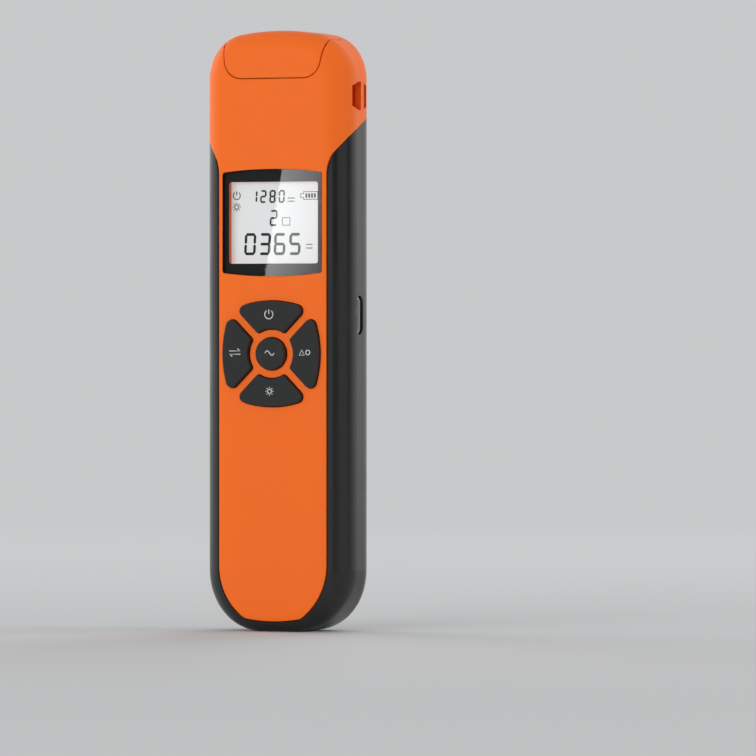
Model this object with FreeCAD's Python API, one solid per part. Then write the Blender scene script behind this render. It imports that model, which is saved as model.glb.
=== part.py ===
"""Hand-held optical power meter: orange and black moulded housing, flip cap over the optical port, display,
five keys, circuit board and battery. Millimetres. It stands upright: +Z up, front face towards -Y, and the
origin is at the centre of its foot."""
import FreeCAD, Part
import math
import os
from FreeCAD import Vector

# ---- driving dimensions: housing ----
WIDTH = 39.2
DEPTH = 19.3
HEIGHT = 148.0
WALL = 1.8
SEAM = 0.1                  # gap between the two housing shells
SIDE_EDGE_R = 7.5           # rounding of the long edges
RIM_R = 0.3                 # rounding along the edges of the strip, the cap's lip and the cap's bay
FOOT_EDGE_R = 4.0           # rounding of the front and back edges at the foot
TOP_EDGE_R = 5.0            # the same at the top
FOOT_CORNER_R = 15.2        # foot corners seen from the front
TOP_CORNER_R = 11.5         # top corners seen from the front
CROWN_R = 62.0              # arched top seen from the front

# ---- driving dimensions: the line between the orange and the black shell ----
LINE_BACK_DROP = 19.25      # below the top of the housing, on the back
LINE_BACK_RUN = 0.55        # level stretch at the back
LINE_BEND_IN = 6.65         # where the straight slope turns into the curve, from the front face
LINE_BEND_DROP = 24.7
LINE_MID_IN = 2.35          # middle of the curve, from the front face
LINE_MID_DROP = 28.3
LINE_FRONT_DROP = 33.9      # on the front
STRIP_MARGIN = 5.1          # from the side of the housing to the orange strip down the front
STRIP_FOOT_Z = 2.55
STRIP_FOOT_R = 41.0         # crowned lower edge of the strip
STRIP_CORNER_R = 15.9
STRIP_CORNER_Z = 16.4       # where the strip's lower corners begin
STRIP_FILLET = 2.5
SHOULDER_DROP = 32.75       # where the line would meet the strip's edge, below the top of the housing
SHOULDER_TURN = 32.0        # degrees that the line turns there
SHOULDER_R = 10.0
STRIP_ROUND_DROP = 31.6     # up to here the strip's edges are rounded, below the top of the housing

# ---- driving dimensions: flip cap and its hinge ----
CAP_MARGIN = 5.9            # from the side of the housing to the cap
CAP_WALL = 1.7
CAP_GAP = 0.15
LIP_DROP = 11.8             # lower edge of the front lip, below the top of the housing
LIP_NARROW = 1.5            # how much narrower the lip is at its lower edge, each side
LIP_TAPER_DROP = 2.5        # where the lip begins to narrow
LIP_CORNER_R = 4.5
HINGE_DROP = 16.2           # hinge axis below the top of the housing
HINGE_BLOCK_W = 19.2
HINGE_BLOCK_R = 3.6
HINGE_SWEEP_GAP = 0.25
EAR_R = 2.45
EAR_RISE = 7.7              # from the hinge axis to where an ear meets the cap's back wall
PIN_R = 1.0
PIN_PLAY = 0.06
PIN_END_GAP = 0.45
SLOT_WALL = 1.2

# ---- driving dimensions: deck, optical port and detector ----
DECK_RISE = 1.7             # top of the deck above the hinge axis
DECK_T = 1.6
BAY_WALL = 1.2
PORT_R = 4.0
PORT_RISE = 6.5             # mouth of the port above the deck
PORT_TAIL = 3.0             # thread below the deck
PORT_BORE_R = 1.9
PORT_FLANGE_R = 4.6
PORT_FLANGE_T = 1.0
PORT_HOLE_PLAY = 0.1
PORT_CHAMFER = 0.4
NUT_FLATS = 9.2
NUT_T = 1.8
FERRULE_R = 1.25
FERRULE_PLAY = 0.02
SLEEVE_DOWN = 0.4           # sleeve ends below the mouth of the port
SLEEVE_FOOT = 0.3
CAN_R = 2.35
CAN_H = 3.7
CAN_PLAY = 0.05
CAN_SEAT = 2.2              # depth of the detector's seat in the port
CAN_RIM_R = 2.7
CAN_RIM_T = 0.4
CAN_WINDOW_R = 0.8
CAN_WINDOW_T = 0.3
LEAD_R = 0.22
LEAD_PITCH = 1.27
LEAD_STEP = 0.5             # from the can down to where a lead turns towards the board's back
LEAD_LAP = 1.8              # soldered length against the back of the board

# ---- driving dimensions: strap eye ----
EYE_DROP = 16.2             # middle of the eye below the top of the housing
EYE_Y = -0.2
EYE_H = 7.0
EYE_W = 8.2
EYE_DEPTH = 3.9
EYE_WALL = 1.2
EYE_BAR_W = 1.6
EYE_BAR_T = 1.6
EYE_BAR_Y = 1.15
EYE_CUT_Y = 2.9             # cut corners of the eye
EYE_CUT_Z = 1.0

# ---- driving dimensions: display ----
WINDOW_W = 26.7
WINDOW_H = 26.3
WINDOW_DROP = 34.2          # top of the window below the top of the housing
WINDOW_ARC_R = 104.0
WINDOW_CORNER_R = 0.7
WINDOW_T = 1.0
WINDOW_SINK = 0.1
WINDOW_PLAY = 0.1
VIEW_W = 24.6
VIEW_MARGIN_LOW = 2.8       # from the window's lower edge to the view opening
VIEW_MARGIN_HIGH = 2.8
COLLAR_RISE = 1.2           # of the rib round the view opening, from the wall to the panel
COLLAR_WALL = 1.2
LCD_W = 25.2
LCD_MARGIN_LOW = 0.5        # from the window's lower edge to the panel
LCD_MARGIN_HIGH = 1.0
LCD_T = 1.6
LCD_GAP = 0.1
BACKLIGHT_W = 24.8
BACKLIGHT_RISE = 2.8        # lower edge of the light guide above the panel's lower edge
CONNECTOR_W = 23.0
CONNECTOR_H = 2.0
CONTACT_GAP = 0.05

# ---- driving dimensions: keys ----
PAD_DROP = 32.25            # centre of the keypad below the middle of the window
PAD_HALF = 13.0             # keypad centre to the outer edge of a ring key
PAD_ARC_R = 26.0            # outer edge of a ring key
PAD_INNER_R = 6.1           # inner edge of a ring key
PAD_BAR = 2.2               # orange bars between the ring keys
CENTRE_KEY_R = 4.0
KEY_OUTER_FILLET = 1.5
KEY_INNER_FILLET = 0.8
KEY_PROUD = 1.3
KEY_TOP_FILLET = 0.5
KEY_PLAY = 0.2
KEY_FLANGE = 0.6
KEY_FLANGE_T = 0.7
KEY_FLANGE_SINK = 0.4
KEY_STEM_R = 1.3
KEY_STEM_AT = 9.2           # stem of a ring key from the keypad centre
KEY_TRAVEL = 0.5
KEY_END_GAP = 0.1
DOME_R = 2.6
DOME_H = 0.5
MAT_T = 0.8
MAT_HOLE_R = 3.0
MAT_MARGIN = 1.5
MAT_CORNER_R = 2.0

# ---- driving dimensions: circuit board ----
BOARD_MARGIN = 4.0          # from the side of the housing to the edge of the board
BOARD_Z0 = 19.0
BOARD_DROP = 21.4           # top edge of the board below the top of the housing
BOARD_T = 1.6
BOARD_FRONT = 5.85          # from the front face of the housing to the board
BOARD_CORNER_R = 2.5
BOARD_POST_X = 12.0
BOARD_POST_R = 1.8
BOARD_POST_BELOW = 18.4     # lower posts below the centre of the keypad
BOARD_POST_ABOVE = 16.3     # upper posts above it
BOARD_SCREW_R = 0.8
BOARD_SCREW_LENGTH = 3.6
BOARD_SCREW_HEAD_R = 1.5
BOARD_SCREW_HEAD_T = 1.0
BOARD_SCREW_PLAY = 0.1
PROCESSOR_SIZE = 7.0
PROCESSOR_DROP = 26.6       # centre of the chip below the top edge of the board
AMPLIFIER_SIZE = 5.0
AMPLIFIER_DROP = 10.6
CHARGER_SIZE = 4.0
CHARGER_X = 6.5
CHARGER_DROP = 41.6
CHIP_T = 1.0
CHIP_CHAMFER = 0.25
CRYSTAL_X = -8.0
CRYSTAL_W = 3.2
CRYSTAL_L = 8.0
CRYSTAL_T = 2.4
CRYSTAL_CORNER_R = 0.96

# ---- driving dimensions: USB-C receptacle ----
USB_RISE = 9.5              # middle of the receptacle above the centre of the keypad
USB_W = 8.94                # along the housing
USB_T = 3.26                # through its depth
USB_LENGTH = 7.0
USB_METAL = 0.3
USB_SINK = 0.65             # mouth below the side of the housing
USB_PLAY = 0.32
TONGUE_W = 6.7
TONGUE_T = 0.7
TONGUE_SINK = 0.7
TONGUE_EDGE_R = 0.3
TONGUE_BASE_T = 1.2

# ---- driving dimensions: battery ----
BATTERY_W = 26.0
BATTERY_FOOT_GAP = 2.57     # above the towers of the lower housing screws
BATTERY_TOP_GAP = 1.43      # below the USB-C receptacle
BATTERY_T = 6.3
BATTERY_EDGE_R = 1.8
TAPE_T = 0.15
TAPE_MARGIN = 3.0
BATTERY_BACK_GAP = 0.05
TAB_W = 4.0
TAB_T = 0.2
TAB_X = 5.0
TAB_RISE = 2.6
RIB_T = 1.0
RIB_H = 3.2
RIB_GAP = 0.4
RIB_INSET = 2.5

# ---- driving dimensions: housing screws ----
SCREW_IN = 7.65             # from the side of the housing
SCREW_LOW_Z = 24.2
SCREW_HIGH_DROP = 24.3      # upper screws below the top of the housing
SCREW_R = 1.1
SCREW_LENGTH = 7.6
SCREW_HEAD_R = 1.8
SCREW_HEAD_T = 1.4
SCREW_SINK = 1.6
SCREW_PLAY = 0.25
WELL_R = 2.33
WELL_WALL = 0.9
WELL_FLOOR = 2.65           # under the screw head, down to where the bosses of the two shells meet
BOSS_R = 2.4
BOSS_BOARD_PLAY = 0.4
PILOT_END = 0.3
HEAD_CHAMFER = 0.3
CROSS_W = 0.55
CROSS_REACH = 0.62          # half the length of the cross, as a share of the head's radius
CROSS_SINK = 0.64           # depth of the cross, as a share of the head's thickness

# ---- driving dimensions: label recess in the back ----
LABEL_W = 25.5
LABEL_DROP = 29.8           # top edge of the recess below the top of the housing
LABEL_H = 18.0
LABEL_DEPTH = 0.5
LABEL_R = 1.9
LABEL_CUT_W = 2.2
LABEL_CUT_H = 2.6

# ---- derived places ----
FRONT = -DEPTH / 2
BACK = DEPTH / 2
INNER_FRONT = FRONT + WALL
INNER_BACK = BACK - WALL
SIDE = WIDTH / 2
BEYOND = 5.0                # how far a cutting tool reaches past the housing
LAP = 0.4                   # how far an inner wall runs into the shell that carries it
SAME = 0.01                 # two places nearer than this are one
LINE_BACK_Z = HEIGHT - LINE_BACK_DROP
LINE_BEND_Y = FRONT + LINE_BEND_IN
LINE_BEND_Z = HEIGHT - LINE_BEND_DROP
LINE_MID_Y = FRONT + LINE_MID_IN
LINE_MID_Z = HEIGHT - LINE_MID_DROP
LINE_FRONT_Z = HEIGHT - LINE_FRONT_DROP
CAP_HALF = SIDE - CAP_MARGIN
LIP_Z = HEIGHT - LIP_DROP
LIP_TAPER_Z = HEIGHT - LIP_TAPER_DROP
HINGE_Y = BACK - EAR_R
HINGE_Z = HEIGHT - HINGE_DROP
EAR_TOP_Z = HINGE_Z + EAR_RISE
BAY_HALF = CAP_HALF + CAP_GAP
SLOT_R = EAR_R + HINGE_SWEEP_GAP
BLOCK_HALF = HINGE_BLOCK_W / 2
EAR_INNER = BLOCK_HALF + CAP_GAP
DECK_TOP_Z = HINGE_Z + DECK_RISE
DECK_Z = DECK_TOP_Z - DECK_T
EYE_Z = HEIGHT - EYE_DROP
WINDOW_Z1 = HEIGHT - WINDOW_DROP
WINDOW_Z0 = WINDOW_Z1 - WINDOW_H
VIEW_Z0 = WINDOW_Z0 + VIEW_MARGIN_LOW
VIEW_Z1 = WINDOW_Z1 - VIEW_MARGIN_HIGH
LCD_Y0 = INNER_FRONT + COLLAR_RISE + LCD_GAP
LCD_Y1 = LCD_Y0 + LCD_T
LCD_Z0 = WINDOW_Z0 + LCD_MARGIN_LOW
LCD_Z1 = WINDOW_Z1 - LCD_MARGIN_HIGH
PAD_Z = (WINDOW_Z0 + WINDOW_Z1) / 2 - PAD_DROP
BOARD_HALF = SIDE - BOARD_MARGIN
BOARD_Y0 = FRONT + BOARD_FRONT
BOARD_Y1 = BOARD_Y0 + BOARD_T
BOARD_Z1 = HEIGHT - BOARD_DROP
POST_PLACES = [(sx * BOARD_POST_X, z) for z in (PAD_Z - BOARD_POST_BELOW, PAD_Z + BOARD_POST_ABOVE)
               for sx in (-1, 1)]
USB_Y = BOARD_Y1 + USB_T / 2 + CONTACT_GAP
USB_Z = PAD_Z + USB_RISE
SCREW_X = SIDE - SCREW_IN
SCREW_SEAT = BACK - SCREW_SINK - SCREW_HEAD_T
SCREW_JOINT_Y = SCREW_SEAT - WELL_FLOOR
SCREW_PLACES = [(sx * SCREW_X, z) for z in (SCREW_LOW_Z, HEIGHT - SCREW_HIGH_DROP) for sx in (-1, 1)]
BATTERY_Y1 = INNER_BACK - TAPE_T - BATTERY_BACK_GAP
BATTERY_Y0 = BATTERY_Y1 - BATTERY_T
BATTERY_Z0 = SCREW_LOW_Z + WELL_R + WELL_WALL + BATTERY_FOOT_GAP
BATTERY_Z1 = USB_Z - USB_W / 2 - BATTERY_TOP_GAP
PORT_Y = (INNER_FRONT + HINGE_Y - SLOT_R - SLOT_WALL) / 2     # midway between the front wall and the ears' trough
PORT_TOP_Z = DECK_TOP_Z + PORT_RISE
PORT_FOOT_Z = DECK_Z - PORT_TAIL
CAN_TOP_Z = PORT_FOOT_Z + CAN_SEAT
CAN_Z0 = CAN_TOP_Z - CAN_H

os.makedirs("parts", exist_ok=True)
document = FreeCAD.newDocument("power_meter")


# ---- small helpers ----
def box(x0, x1, y0, y1, z0, z1):
    return Part.makeBox(x1 - x0, y1 - y0, z1 - z0, Vector(x0, y0, z0))


def rod_y(r, x, z, y0, y1):
    """Cylinder along Y."""
    return Part.makeCylinder(r, y1 - y0, Vector(x, y0, z), Vector(0, 1, 0))


def rod_x(r, x0, x1, y=HINGE_Y, z=HINGE_Z):
    """Cylinder along X, about the hinge axis if no other place is given."""
    return Part.makeCylinder(r, x1 - x0, Vector(x0, y, z), Vector(1, 0, 0))


def rod_z(r, x, y, z0, z1):
    """Cylinder along Z."""
    return Part.makeCylinder(r, z1 - z0, Vector(x, y, z0))


def polygon(points):
    return Part.makePolygon(points + [points[0]])


def prism_y(wire, y0, y1):
    """Solid made by running a wire drawn in the XZ plane from y0 to y1."""
    face = Part.Face(wire)
    face.translate(Vector(0, y0 - face.BoundBox.YMin, 0))
    return face.extrude(Vector(0, y1 - y0, 0))


def edges_along(shape, direction, keep=lambda middle: True):
    """Straight edges that run along a direction and pass a test on their middle point."""
    found = []
    for edge in shape.Edges:
        if not isinstance(edge.Curve, (Part.Line, Part.LineSegment)):
            continue
        run = edge.Vertexes[-1].Point - edge.Vertexes[0].Point
        if run.cross(direction).Length < 1e-6 and keep(edge.CenterOfMass):
            found.append(edge)
    return found


def slab(z0, z1):
    """Everything between two heights."""
    return box(-SIDE - BEYOND, SIDE + BEYOND, FRONT - BEYOND, BACK + BEYOND, z0, z1)


def both_sides(shape):
    """The shape and its mirror image across the YZ plane, fused."""
    return shape.fuse(shape.mirror(Vector(0, 0, 0), Vector(1, 0, 0)))


def fused(shapes):
    return shapes[0].multiFuse(shapes[1:]).removeSplitter()


def save(name, shape):
    if not shape.isValid():
        print("not valid:", name)
    if shape.ShapeType != "Solid" and len(shape.Solids) == 1:
        shape = shape.Solids[0]
    shape.exportStep("parts/" + name + ".step")
    print(f"{name:18s} {len(shape.Solids)} solid  {shape.Volume:10.2f} mm3")
    return shape


# ---- the outer form of the housing, or the same form inset by a wall ----
def front_outline(inset):
    """Outline seen from the front: level foot, round corners, straight sides, arched top."""
    half = SIDE - inset
    foot, top = inset, HEIGHT - inset
    foot_r = FOOT_CORNER_R - inset
    top_r = TOP_CORNER_R - inset
    crown_r = CROWN_R - inset
    diagonal = foot_r * (1 - math.sqrt(0.5))
    corner_x = half - top_r
    crown_z = top - crown_r
    corner_z = crown_z + math.sqrt((crown_r - top_r) ** 2 - corner_x ** 2)
    turn = math.atan2(corner_z - crown_z, corner_x)

    def on_corner(angle):
        return Vector(corner_x + top_r * math.cos(angle), 0, corner_z + top_r * math.sin(angle))

    def flipped(p):
        return Vector(-p.x, 0, p.z)

    foot_end = Vector(half - foot_r, 0, foot)
    foot_mid = Vector(half - diagonal, 0, foot + diagonal)
    side_low = Vector(half, 0, foot + foot_r)
    side_high, corner_mid, crown_end = on_corner(0), on_corner(turn / 2), on_corner(turn)
    edges = [
        Part.LineSegment(flipped(foot_end), foot_end),
        Part.Arc(foot_end, foot_mid, side_low),
        Part.LineSegment(side_low, side_high),
        Part.Arc(side_high, corner_mid, crown_end),
        Part.Arc(crown_end, Vector(0, 0, top), flipped(crown_end)),
        Part.Arc(flipped(crown_end), flipped(corner_mid), flipped(side_high)),
        Part.LineSegment(flipped(side_high), flipped(side_low)),
        Part.Arc(flipped(side_low), flipped(foot_mid), flipped(foot_end)),
    ]
    return Part.Wire([edge.toShape() for edge in edges])


def housing_form(inset=0.0):
    """The outline run through the depth, with its rim rounded: small at the foot, large along the sides."""
    block = prism_y(front_outline(inset), FRONT + inset, BACK - inset)
    top_start = HEIGHT - TOP_CORNER_R / 2 - CROWN_R + math.sqrt(CROWN_R ** 2 - (SIDE - TOP_CORNER_R) ** 2)

    def radius_at(z):
        """Small at the foot, large from the end of the foot corners up, medium over the arched top."""
        if z > top_start:
            return TOP_EDGE_R - inset
        return (SIDE_EDGE_R if z > FOOT_CORNER_R - SAME else FOOT_EDGE_R) - inset

    rim = []
    for number, edge in enumerate(block.Edges, 1):
        if edge.BoundBox.YLength > SAME:
            continue
        ends = [edge.valueAt(p).z for p in (edge.FirstParameter, edge.LastParameter)]
        rim.append((number, radius_at(ends[0]), radius_at(ends[1])))
    base = document.addObject("Part::Feature", "block")
    base.Shape = block
    rounded = document.addObject("Part::Fillet", "rounded")
    rounded.Base = base
    rounded.Edges = rim
    document.recompute()
    return Part.Solid(rounded.Shape.Solids[0])


# ---- the part of space that the orange shell takes ----
def above_line(drop=0.0):
    """Everything above the line between the shells, run across the width."""
    back_end = Vector(0, BACK + BEYOND, LINE_BACK_Z - drop)
    back_run = Vector(0, BACK - LINE_BACK_RUN, LINE_BACK_Z - drop)
    bend = Vector(0, LINE_BEND_Y, LINE_BEND_Z - drop)
    middle = Vector(0, LINE_MID_Y - drop / 2, LINE_MID_Z - drop)
    front = Vector(0, FRONT, LINE_FRONT_Z - drop)
    front_end = Vector(0, FRONT - BEYOND, LINE_FRONT_Z - drop)
    top_front = Vector(0, FRONT - BEYOND, HEIGHT + BEYOND)
    top_back = Vector(0, BACK + BEYOND, HEIGHT + BEYOND)
    edges = [
        Part.LineSegment(back_end, back_run),
        Part.LineSegment(back_run, bend),
        Part.Arc(bend, middle, front),
        Part.LineSegment(front, front_end),
        Part.LineSegment(front_end, top_front),
        Part.LineSegment(top_front, top_back),
        Part.LineSegment(top_back, back_end),
    ]
    face = Part.Face(Part.Wire([edge.toShape() for edge in edges]))
    face.translate(Vector(-SIDE - BEYOND, 0, 0))
    return face.extrude(Vector(WIDTH + 2 * BEYOND, 0, 0))


def front_strip(grow=0.0):
    """The strip down the front wall: parallel sides, round lower corners and a crowned lower edge."""
    half = SIDE - STRIP_MARGIN + grow
    corner_r = STRIP_CORNER_R + grow
    foot_r = STRIP_FOOT_R + grow
    corner_x = half - corner_r
    foot_z = STRIP_FOOT_Z - grow + foot_r
    # where the corner circle meets the circle of the lower edge
    apart = math.hypot(corner_x, foot_z - STRIP_CORNER_Z)
    along = (foot_r ** 2 - corner_r ** 2 + apart ** 2) / (2 * apart)
    across = math.sqrt(foot_r ** 2 - along ** 2)
    ux, uz = corner_x / apart, (STRIP_CORNER_Z - foot_z) / apart
    meet = Vector(ux * along - uz * across, 0, foot_z + uz * along + ux * across)
    turn = math.atan2(meet.z - STRIP_CORNER_Z, meet.x - corner_x) / 2
    middle = Vector(corner_x + corner_r * math.cos(turn), 0, STRIP_CORNER_Z + corner_r * math.sin(turn))
    side = Vector(half, 0, STRIP_CORNER_Z)
    top = Vector(half, 0, LINE_BEND_Z)

    def flipped(p):
        return Vector(-p.x, 0, p.z)

    edges = [
        Part.Arc(flipped(meet), Vector(0, 0, STRIP_FOOT_Z - grow), meet),
        Part.Arc(meet, middle, side),
        Part.LineSegment(side, top),
        Part.LineSegment(top, flipped(top)),
        Part.LineSegment(flipped(top), flipped(side)),
        Part.Arc(flipped(side), flipped(middle), flipped(meet)),
    ]
    wire = Part.Wire([edge.toShape() for edge in edges])
    strip = prism_y(wire, FRONT - BEYOND, LINE_BEND_Y)
    corners = edges_along(strip, Vector(0, 1, 0), lambda p: p.z < STRIP_CORNER_Z - STRIP_FILLET)
    return strip.makeFillet(STRIP_FILLET, corners)


def shoulders(grow=0.0):
    """Round fillings between the line and the two edges of the strip, where the line runs down into them."""
    turn = math.radians(SHOULDER_TURN)
    radius = SHOULDER_R - grow
    x = SIDE - STRIP_MARGIN + grow
    z = HEIGHT - SHOULDER_DROP - grow * math.tan(turn / 2)
    reach = radius * math.tan(turn / 2)
    low = Vector(x, 0, z - reach)
    high = Vector(x + reach * math.sin(turn), 0, z + reach * math.cos(turn))
    middle = Vector(x + radius - radius * math.cos(turn / 2), 0, z - reach + radius * math.sin(turn / 2))
    rim = Vector(high.x, 0, high.z + SAME + 3 * grow)       # the larger filling covers the top of the smaller one
    inner_high, inner_low = Vector(x - LAP, 0, rim.z), Vector(x - LAP, 0, low.z)
    edges = [
        Part.Arc(low, middle, high),
        Part.LineSegment(high, rim),
        Part.LineSegment(rim, inner_high),
        Part.LineSegment(inner_high, inner_low),
        Part.LineSegment(inner_low, low),
    ]
    return both_sides(prism_y(Part.Wire([edge.toShape() for edge in edges]), FRONT - BEYOND, LINE_BEND_Y))


def with_round_strip(shape, x):
    """The shape with its edge on the outside rounded, where it follows the strip's edge at x."""
    body = shape.Solids[0]
    long_edges = edges_along(body, Vector(0, 0, 1), lambda p: abs(abs(p.x) - x) < SAME and p.y < FRONT + WALL / 2)
    return body.makeFillet(RIM_R, long_edges)


def orange_form(form):
    """What the orange shell takes of the housing's form."""
    strip = fused([front_strip(), shoulders()])
    level = HEIGHT - STRIP_ROUND_DROP
    low = with_round_strip(form.common(strip).common(slab(0, level)), SIDE - STRIP_MARGIN)
    return fused([low, form.common(strip).common(slab(level, HEIGHT)), form.common(above_line())])


def black_form(form):
    """What the black shell takes of it: the rest, less the seam."""
    strip = fused([front_strip(SEAM), shoulders(SEAM)])
    level = HEIGHT - STRIP_ROUND_DROP
    low = with_round_strip(form.common(slab(0, level)).cut(strip), SIDE - STRIP_MARGIN + SEAM)
    return fused([low, form.common(slab(level, HEIGHT)).cut(strip)]).cut(above_line(SEAM))


# ---- flip cap region ----
def lip_prism(grow, y0, y1):
    """The U shape of the cap's front lip, grown by a gap, from y0 to y1."""
    half = CAP_HALF + grow
    low = LIP_Z - grow
    points = [
        Vector(half, 0, HEIGHT + BEYOND), Vector(half, 0, LIP_TAPER_Z),
        Vector(half - LIP_NARROW, 0, low), Vector(LIP_NARROW - half, 0, low),
        Vector(-half, 0, LIP_TAPER_Z), Vector(-half, 0, HEIGHT + BEYOND),
    ]
    lip = prism_y(polygon(points), y0, y1)
    lower = edges_along(lip, Vector(0, 1, 0), lambda p: p.z < low + SAME)
    lip = lip.makeFillet(LIP_CORNER_R + grow, lower)
    shoulder = edges_along(lip, Vector(0, 1, 0), lambda p: abs(p.z - LIP_TAPER_Z) < SAME)
    return lip.makeFillet(LIP_CORNER_R, shoulder)


def round_lip(body, form, lip):
    """The body with round edges where the side of the lip meets the outside of the housing."""
    body = body.Solids[0]
    edges = []
    for edge in body.Edges:
        span = edge.LastParameter - edge.FirstParameter
        places = [Part.Vertex(edge.valueAt(edge.FirstParameter + share * span)) for share in (0.15, 0.5, 0.85)]
        on_both = all(place.distToShape(other.Shells[0])[0] < SAME for place in places for other in (form, lip))
        if on_both and edge.BoundBox.YMax < -SAME:
            edges.append(edge)
    return body.makeFillet(RIM_R, edges)


def ear_slot(x0, x1):
    """Room for one hinge ear: it turns in the round bottom and lies back over the level floor."""
    floor_z = HINGE_Z - SLOT_R
    return fused([
        rod_x(SLOT_R, x0, x1),
        box(x0, x1, HINGE_Y, BACK + BEYOND, floor_z, HINGE_Z + SLOT_R),
        box(x0, x1, HINGE_Y - SLOT_R, BACK + BEYOND, HINGE_Z, HEIGHT + BEYOND),
    ])


def make_flip_cap(form):
    lip = lip_prism(0, FRONT - BEYOND, 0)
    top_half = box(-CAP_HALF, CAP_HALF, 0, BACK + BEYOND, HINGE_Z, HEIGHT + BEYOND)
    cap = fused([round_lip(form.common(lip), form, lip), form.common(top_half)]).cut(housing_form(CAP_WALL))
    profile = polygon([
        Vector(EAR_INNER, BACK, HINGE_Z), Vector(EAR_INNER, BACK, EAR_TOP_Z),
        Vector(EAR_INNER, BACK - CAP_WALL, EAR_TOP_Z), Vector(EAR_INNER, HINGE_Y - EAR_R, HINGE_Z),
    ])
    ear = Part.Face(profile).extrude(Vector(CAP_HALF - EAR_INNER, 0, 0))
    ear = ear.fuse(rod_x(EAR_R, EAR_INNER, CAP_HALF)).common(form)
    cap = cap.cut(rod_x(HINGE_BLOCK_R + HINGE_SWEEP_GAP, -EAR_INNER, EAR_INNER))
    cap = cap.cut(box(-EAR_INNER, EAR_INNER, 0, BACK + BEYOND, 0, HINGE_Z + EAR_R))
    cap = fused([cap, both_sides(ear)])
    return cap.cut(rod_x(PIN_R + PIN_PLAY, -CAP_HALF, CAP_HALF))


# ---- display window ----
def window_prism(grow, y0, y1):
    """Window outline: straight sides, slightly arched top and bottom, small round corners."""
    half = WINDOW_W / 2 + grow
    arc_r = WINDOW_ARC_R
    rise = arc_r - math.sqrt(arc_r ** 2 - half ** 2)
    low, high = WINDOW_Z0 - grow, WINDOW_Z1 + grow
    corners = [Vector(-half, 0, low + rise), Vector(half, 0, low + rise),
               Vector(half, 0, high - rise), Vector(-half, 0, high - rise)]
    edges = [
        Part.Arc(corners[0], Vector(0, 0, low), corners[1]),
        Part.LineSegment(corners[1], corners[2]),
        Part.Arc(corners[2], Vector(0, 0, high), corners[3]),
        Part.LineSegment(corners[3], corners[0]),
    ]
    pane = prism_y(Part.Wire([edge.toShape() for edge in edges]), y0, y1)
    return pane.makeFillet(WINDOW_CORNER_R, edges_along(pane, Vector(0, 1, 0)))


# ---- keys ----
def ring_key_prism(grow, y0, y1):
    """Top key of the ring: outer arc, two sides along the diagonals, inner arc. The others are turned copies."""
    half_bar = (PAD_BAR / 2 - grow) * math.sqrt(2)
    outer_r, inner_r = PAD_ARC_R + grow, PAD_INNER_R - grow
    outer_c = PAD_HALF - PAD_ARC_R

    def meets(radius, centre):
        """Where the side x = z - half_bar meets a circle about (0, centre)."""
        shift = half_bar - centre
        x = (-shift + math.sqrt(2 * radius ** 2 - shift ** 2)) / 2
        return Vector(x, 0, x + half_bar)

    outer, inner = meets(outer_r, outer_c), meets(inner_r, 0)

    def flipped(p):
        return Vector(-p.x, 0, p.z)

    edges = [
        Part.Arc(flipped(outer), Vector(0, 0, PAD_HALF + grow), outer),
        Part.LineSegment(outer, inner),
        Part.Arc(inner, Vector(0, 0, inner_r), flipped(inner)),
        Part.LineSegment(flipped(inner), flipped(outer)),
    ]
    key = prism_y(Part.Wire([edge.toShape() for edge in edges]), y0, y1)
    outers = edges_along(key, Vector(0, 1, 0), lambda p: p.z > (outer.z + inner.z) / 2)
    key = key.makeFillet(KEY_OUTER_FILLET + grow, outers)
    inners = edges_along(key, Vector(0, 1, 0), lambda p: p.z < inner.z + SAME)
    key = key.makeFillet(KEY_INNER_FILLET + grow / 2, inners)
    key.translate(Vector(0, 0, PAD_Z))
    return key


def turned(shape, angle):
    copy = shape.copy()
    copy.rotate(Vector(0, 0, PAD_Z), Vector(0, 1, 0), angle)
    return copy


KEY_FACE = FRONT - KEY_PROUD
KEY_FLANGE_Y0 = INNER_FRONT + KEY_FLANGE_SINK
KEY_FLANGE_Y1 = KEY_FLANGE_Y0 + KEY_FLANGE_T
KEY_STEM_Y1 = BOARD_Y0 - DOME_H - KEY_END_GAP - KEY_TRAVEL
KEY_TURNS = {"key_power": 0, "key_ref": 90, "key_lamp": 180, "key_unit": 270}
STEM_PLACES = [(0, PAD_Z)] + [
    (KEY_STEM_AT * math.sin(math.radians(a)), PAD_Z + KEY_STEM_AT * math.cos(math.radians(a)))
    for a in KEY_TURNS.values()]


def finished_key(cap_prism, flange, stem_z):
    """A key: its cap with a rounded face, the flange that keeps it in, and the stem down to its dome."""
    face_edges = [e for e in cap_prism.Edges if e.BoundBox.YMax < KEY_FACE + SAME]
    cap_prism = cap_prism.makeFillet(KEY_TOP_FILLET, face_edges)
    stem = rod_y(KEY_STEM_R, 0, stem_z, KEY_FLANGE_Y0, KEY_STEM_Y1)
    return fused([cap_prism, flange, stem])


def make_keys():
    ring = finished_key(ring_key_prism(0, KEY_FACE, KEY_FLANGE_Y1),
                        ring_key_prism(KEY_FLANGE, KEY_FLANGE_Y0, KEY_FLANGE_Y1), PAD_Z + KEY_STEM_AT)
    keys = {name: turned(ring, angle) for name, angle in KEY_TURNS.items()}
    keys["key_wave"] = finished_key(rod_y(CENTRE_KEY_R, 0, PAD_Z, KEY_FACE, KEY_FLANGE_Y1),
                                    rod_y(CENTRE_KEY_R + KEY_FLANGE, 0, PAD_Z, KEY_FLANGE_Y0, KEY_FLANGE_Y1), PAD_Z)
    return keys


def key_holes():
    ring = ring_key_prism(KEY_PLAY, FRONT - BEYOND, KEY_FLANGE_Y0)
    holes = [turned(ring, angle) for angle in KEY_TURNS.values()]
    return holes + [rod_y(CENTRE_KEY_R + KEY_PLAY, 0, PAD_Z, FRONT - BEYOND, KEY_FLANGE_Y0)]


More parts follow.
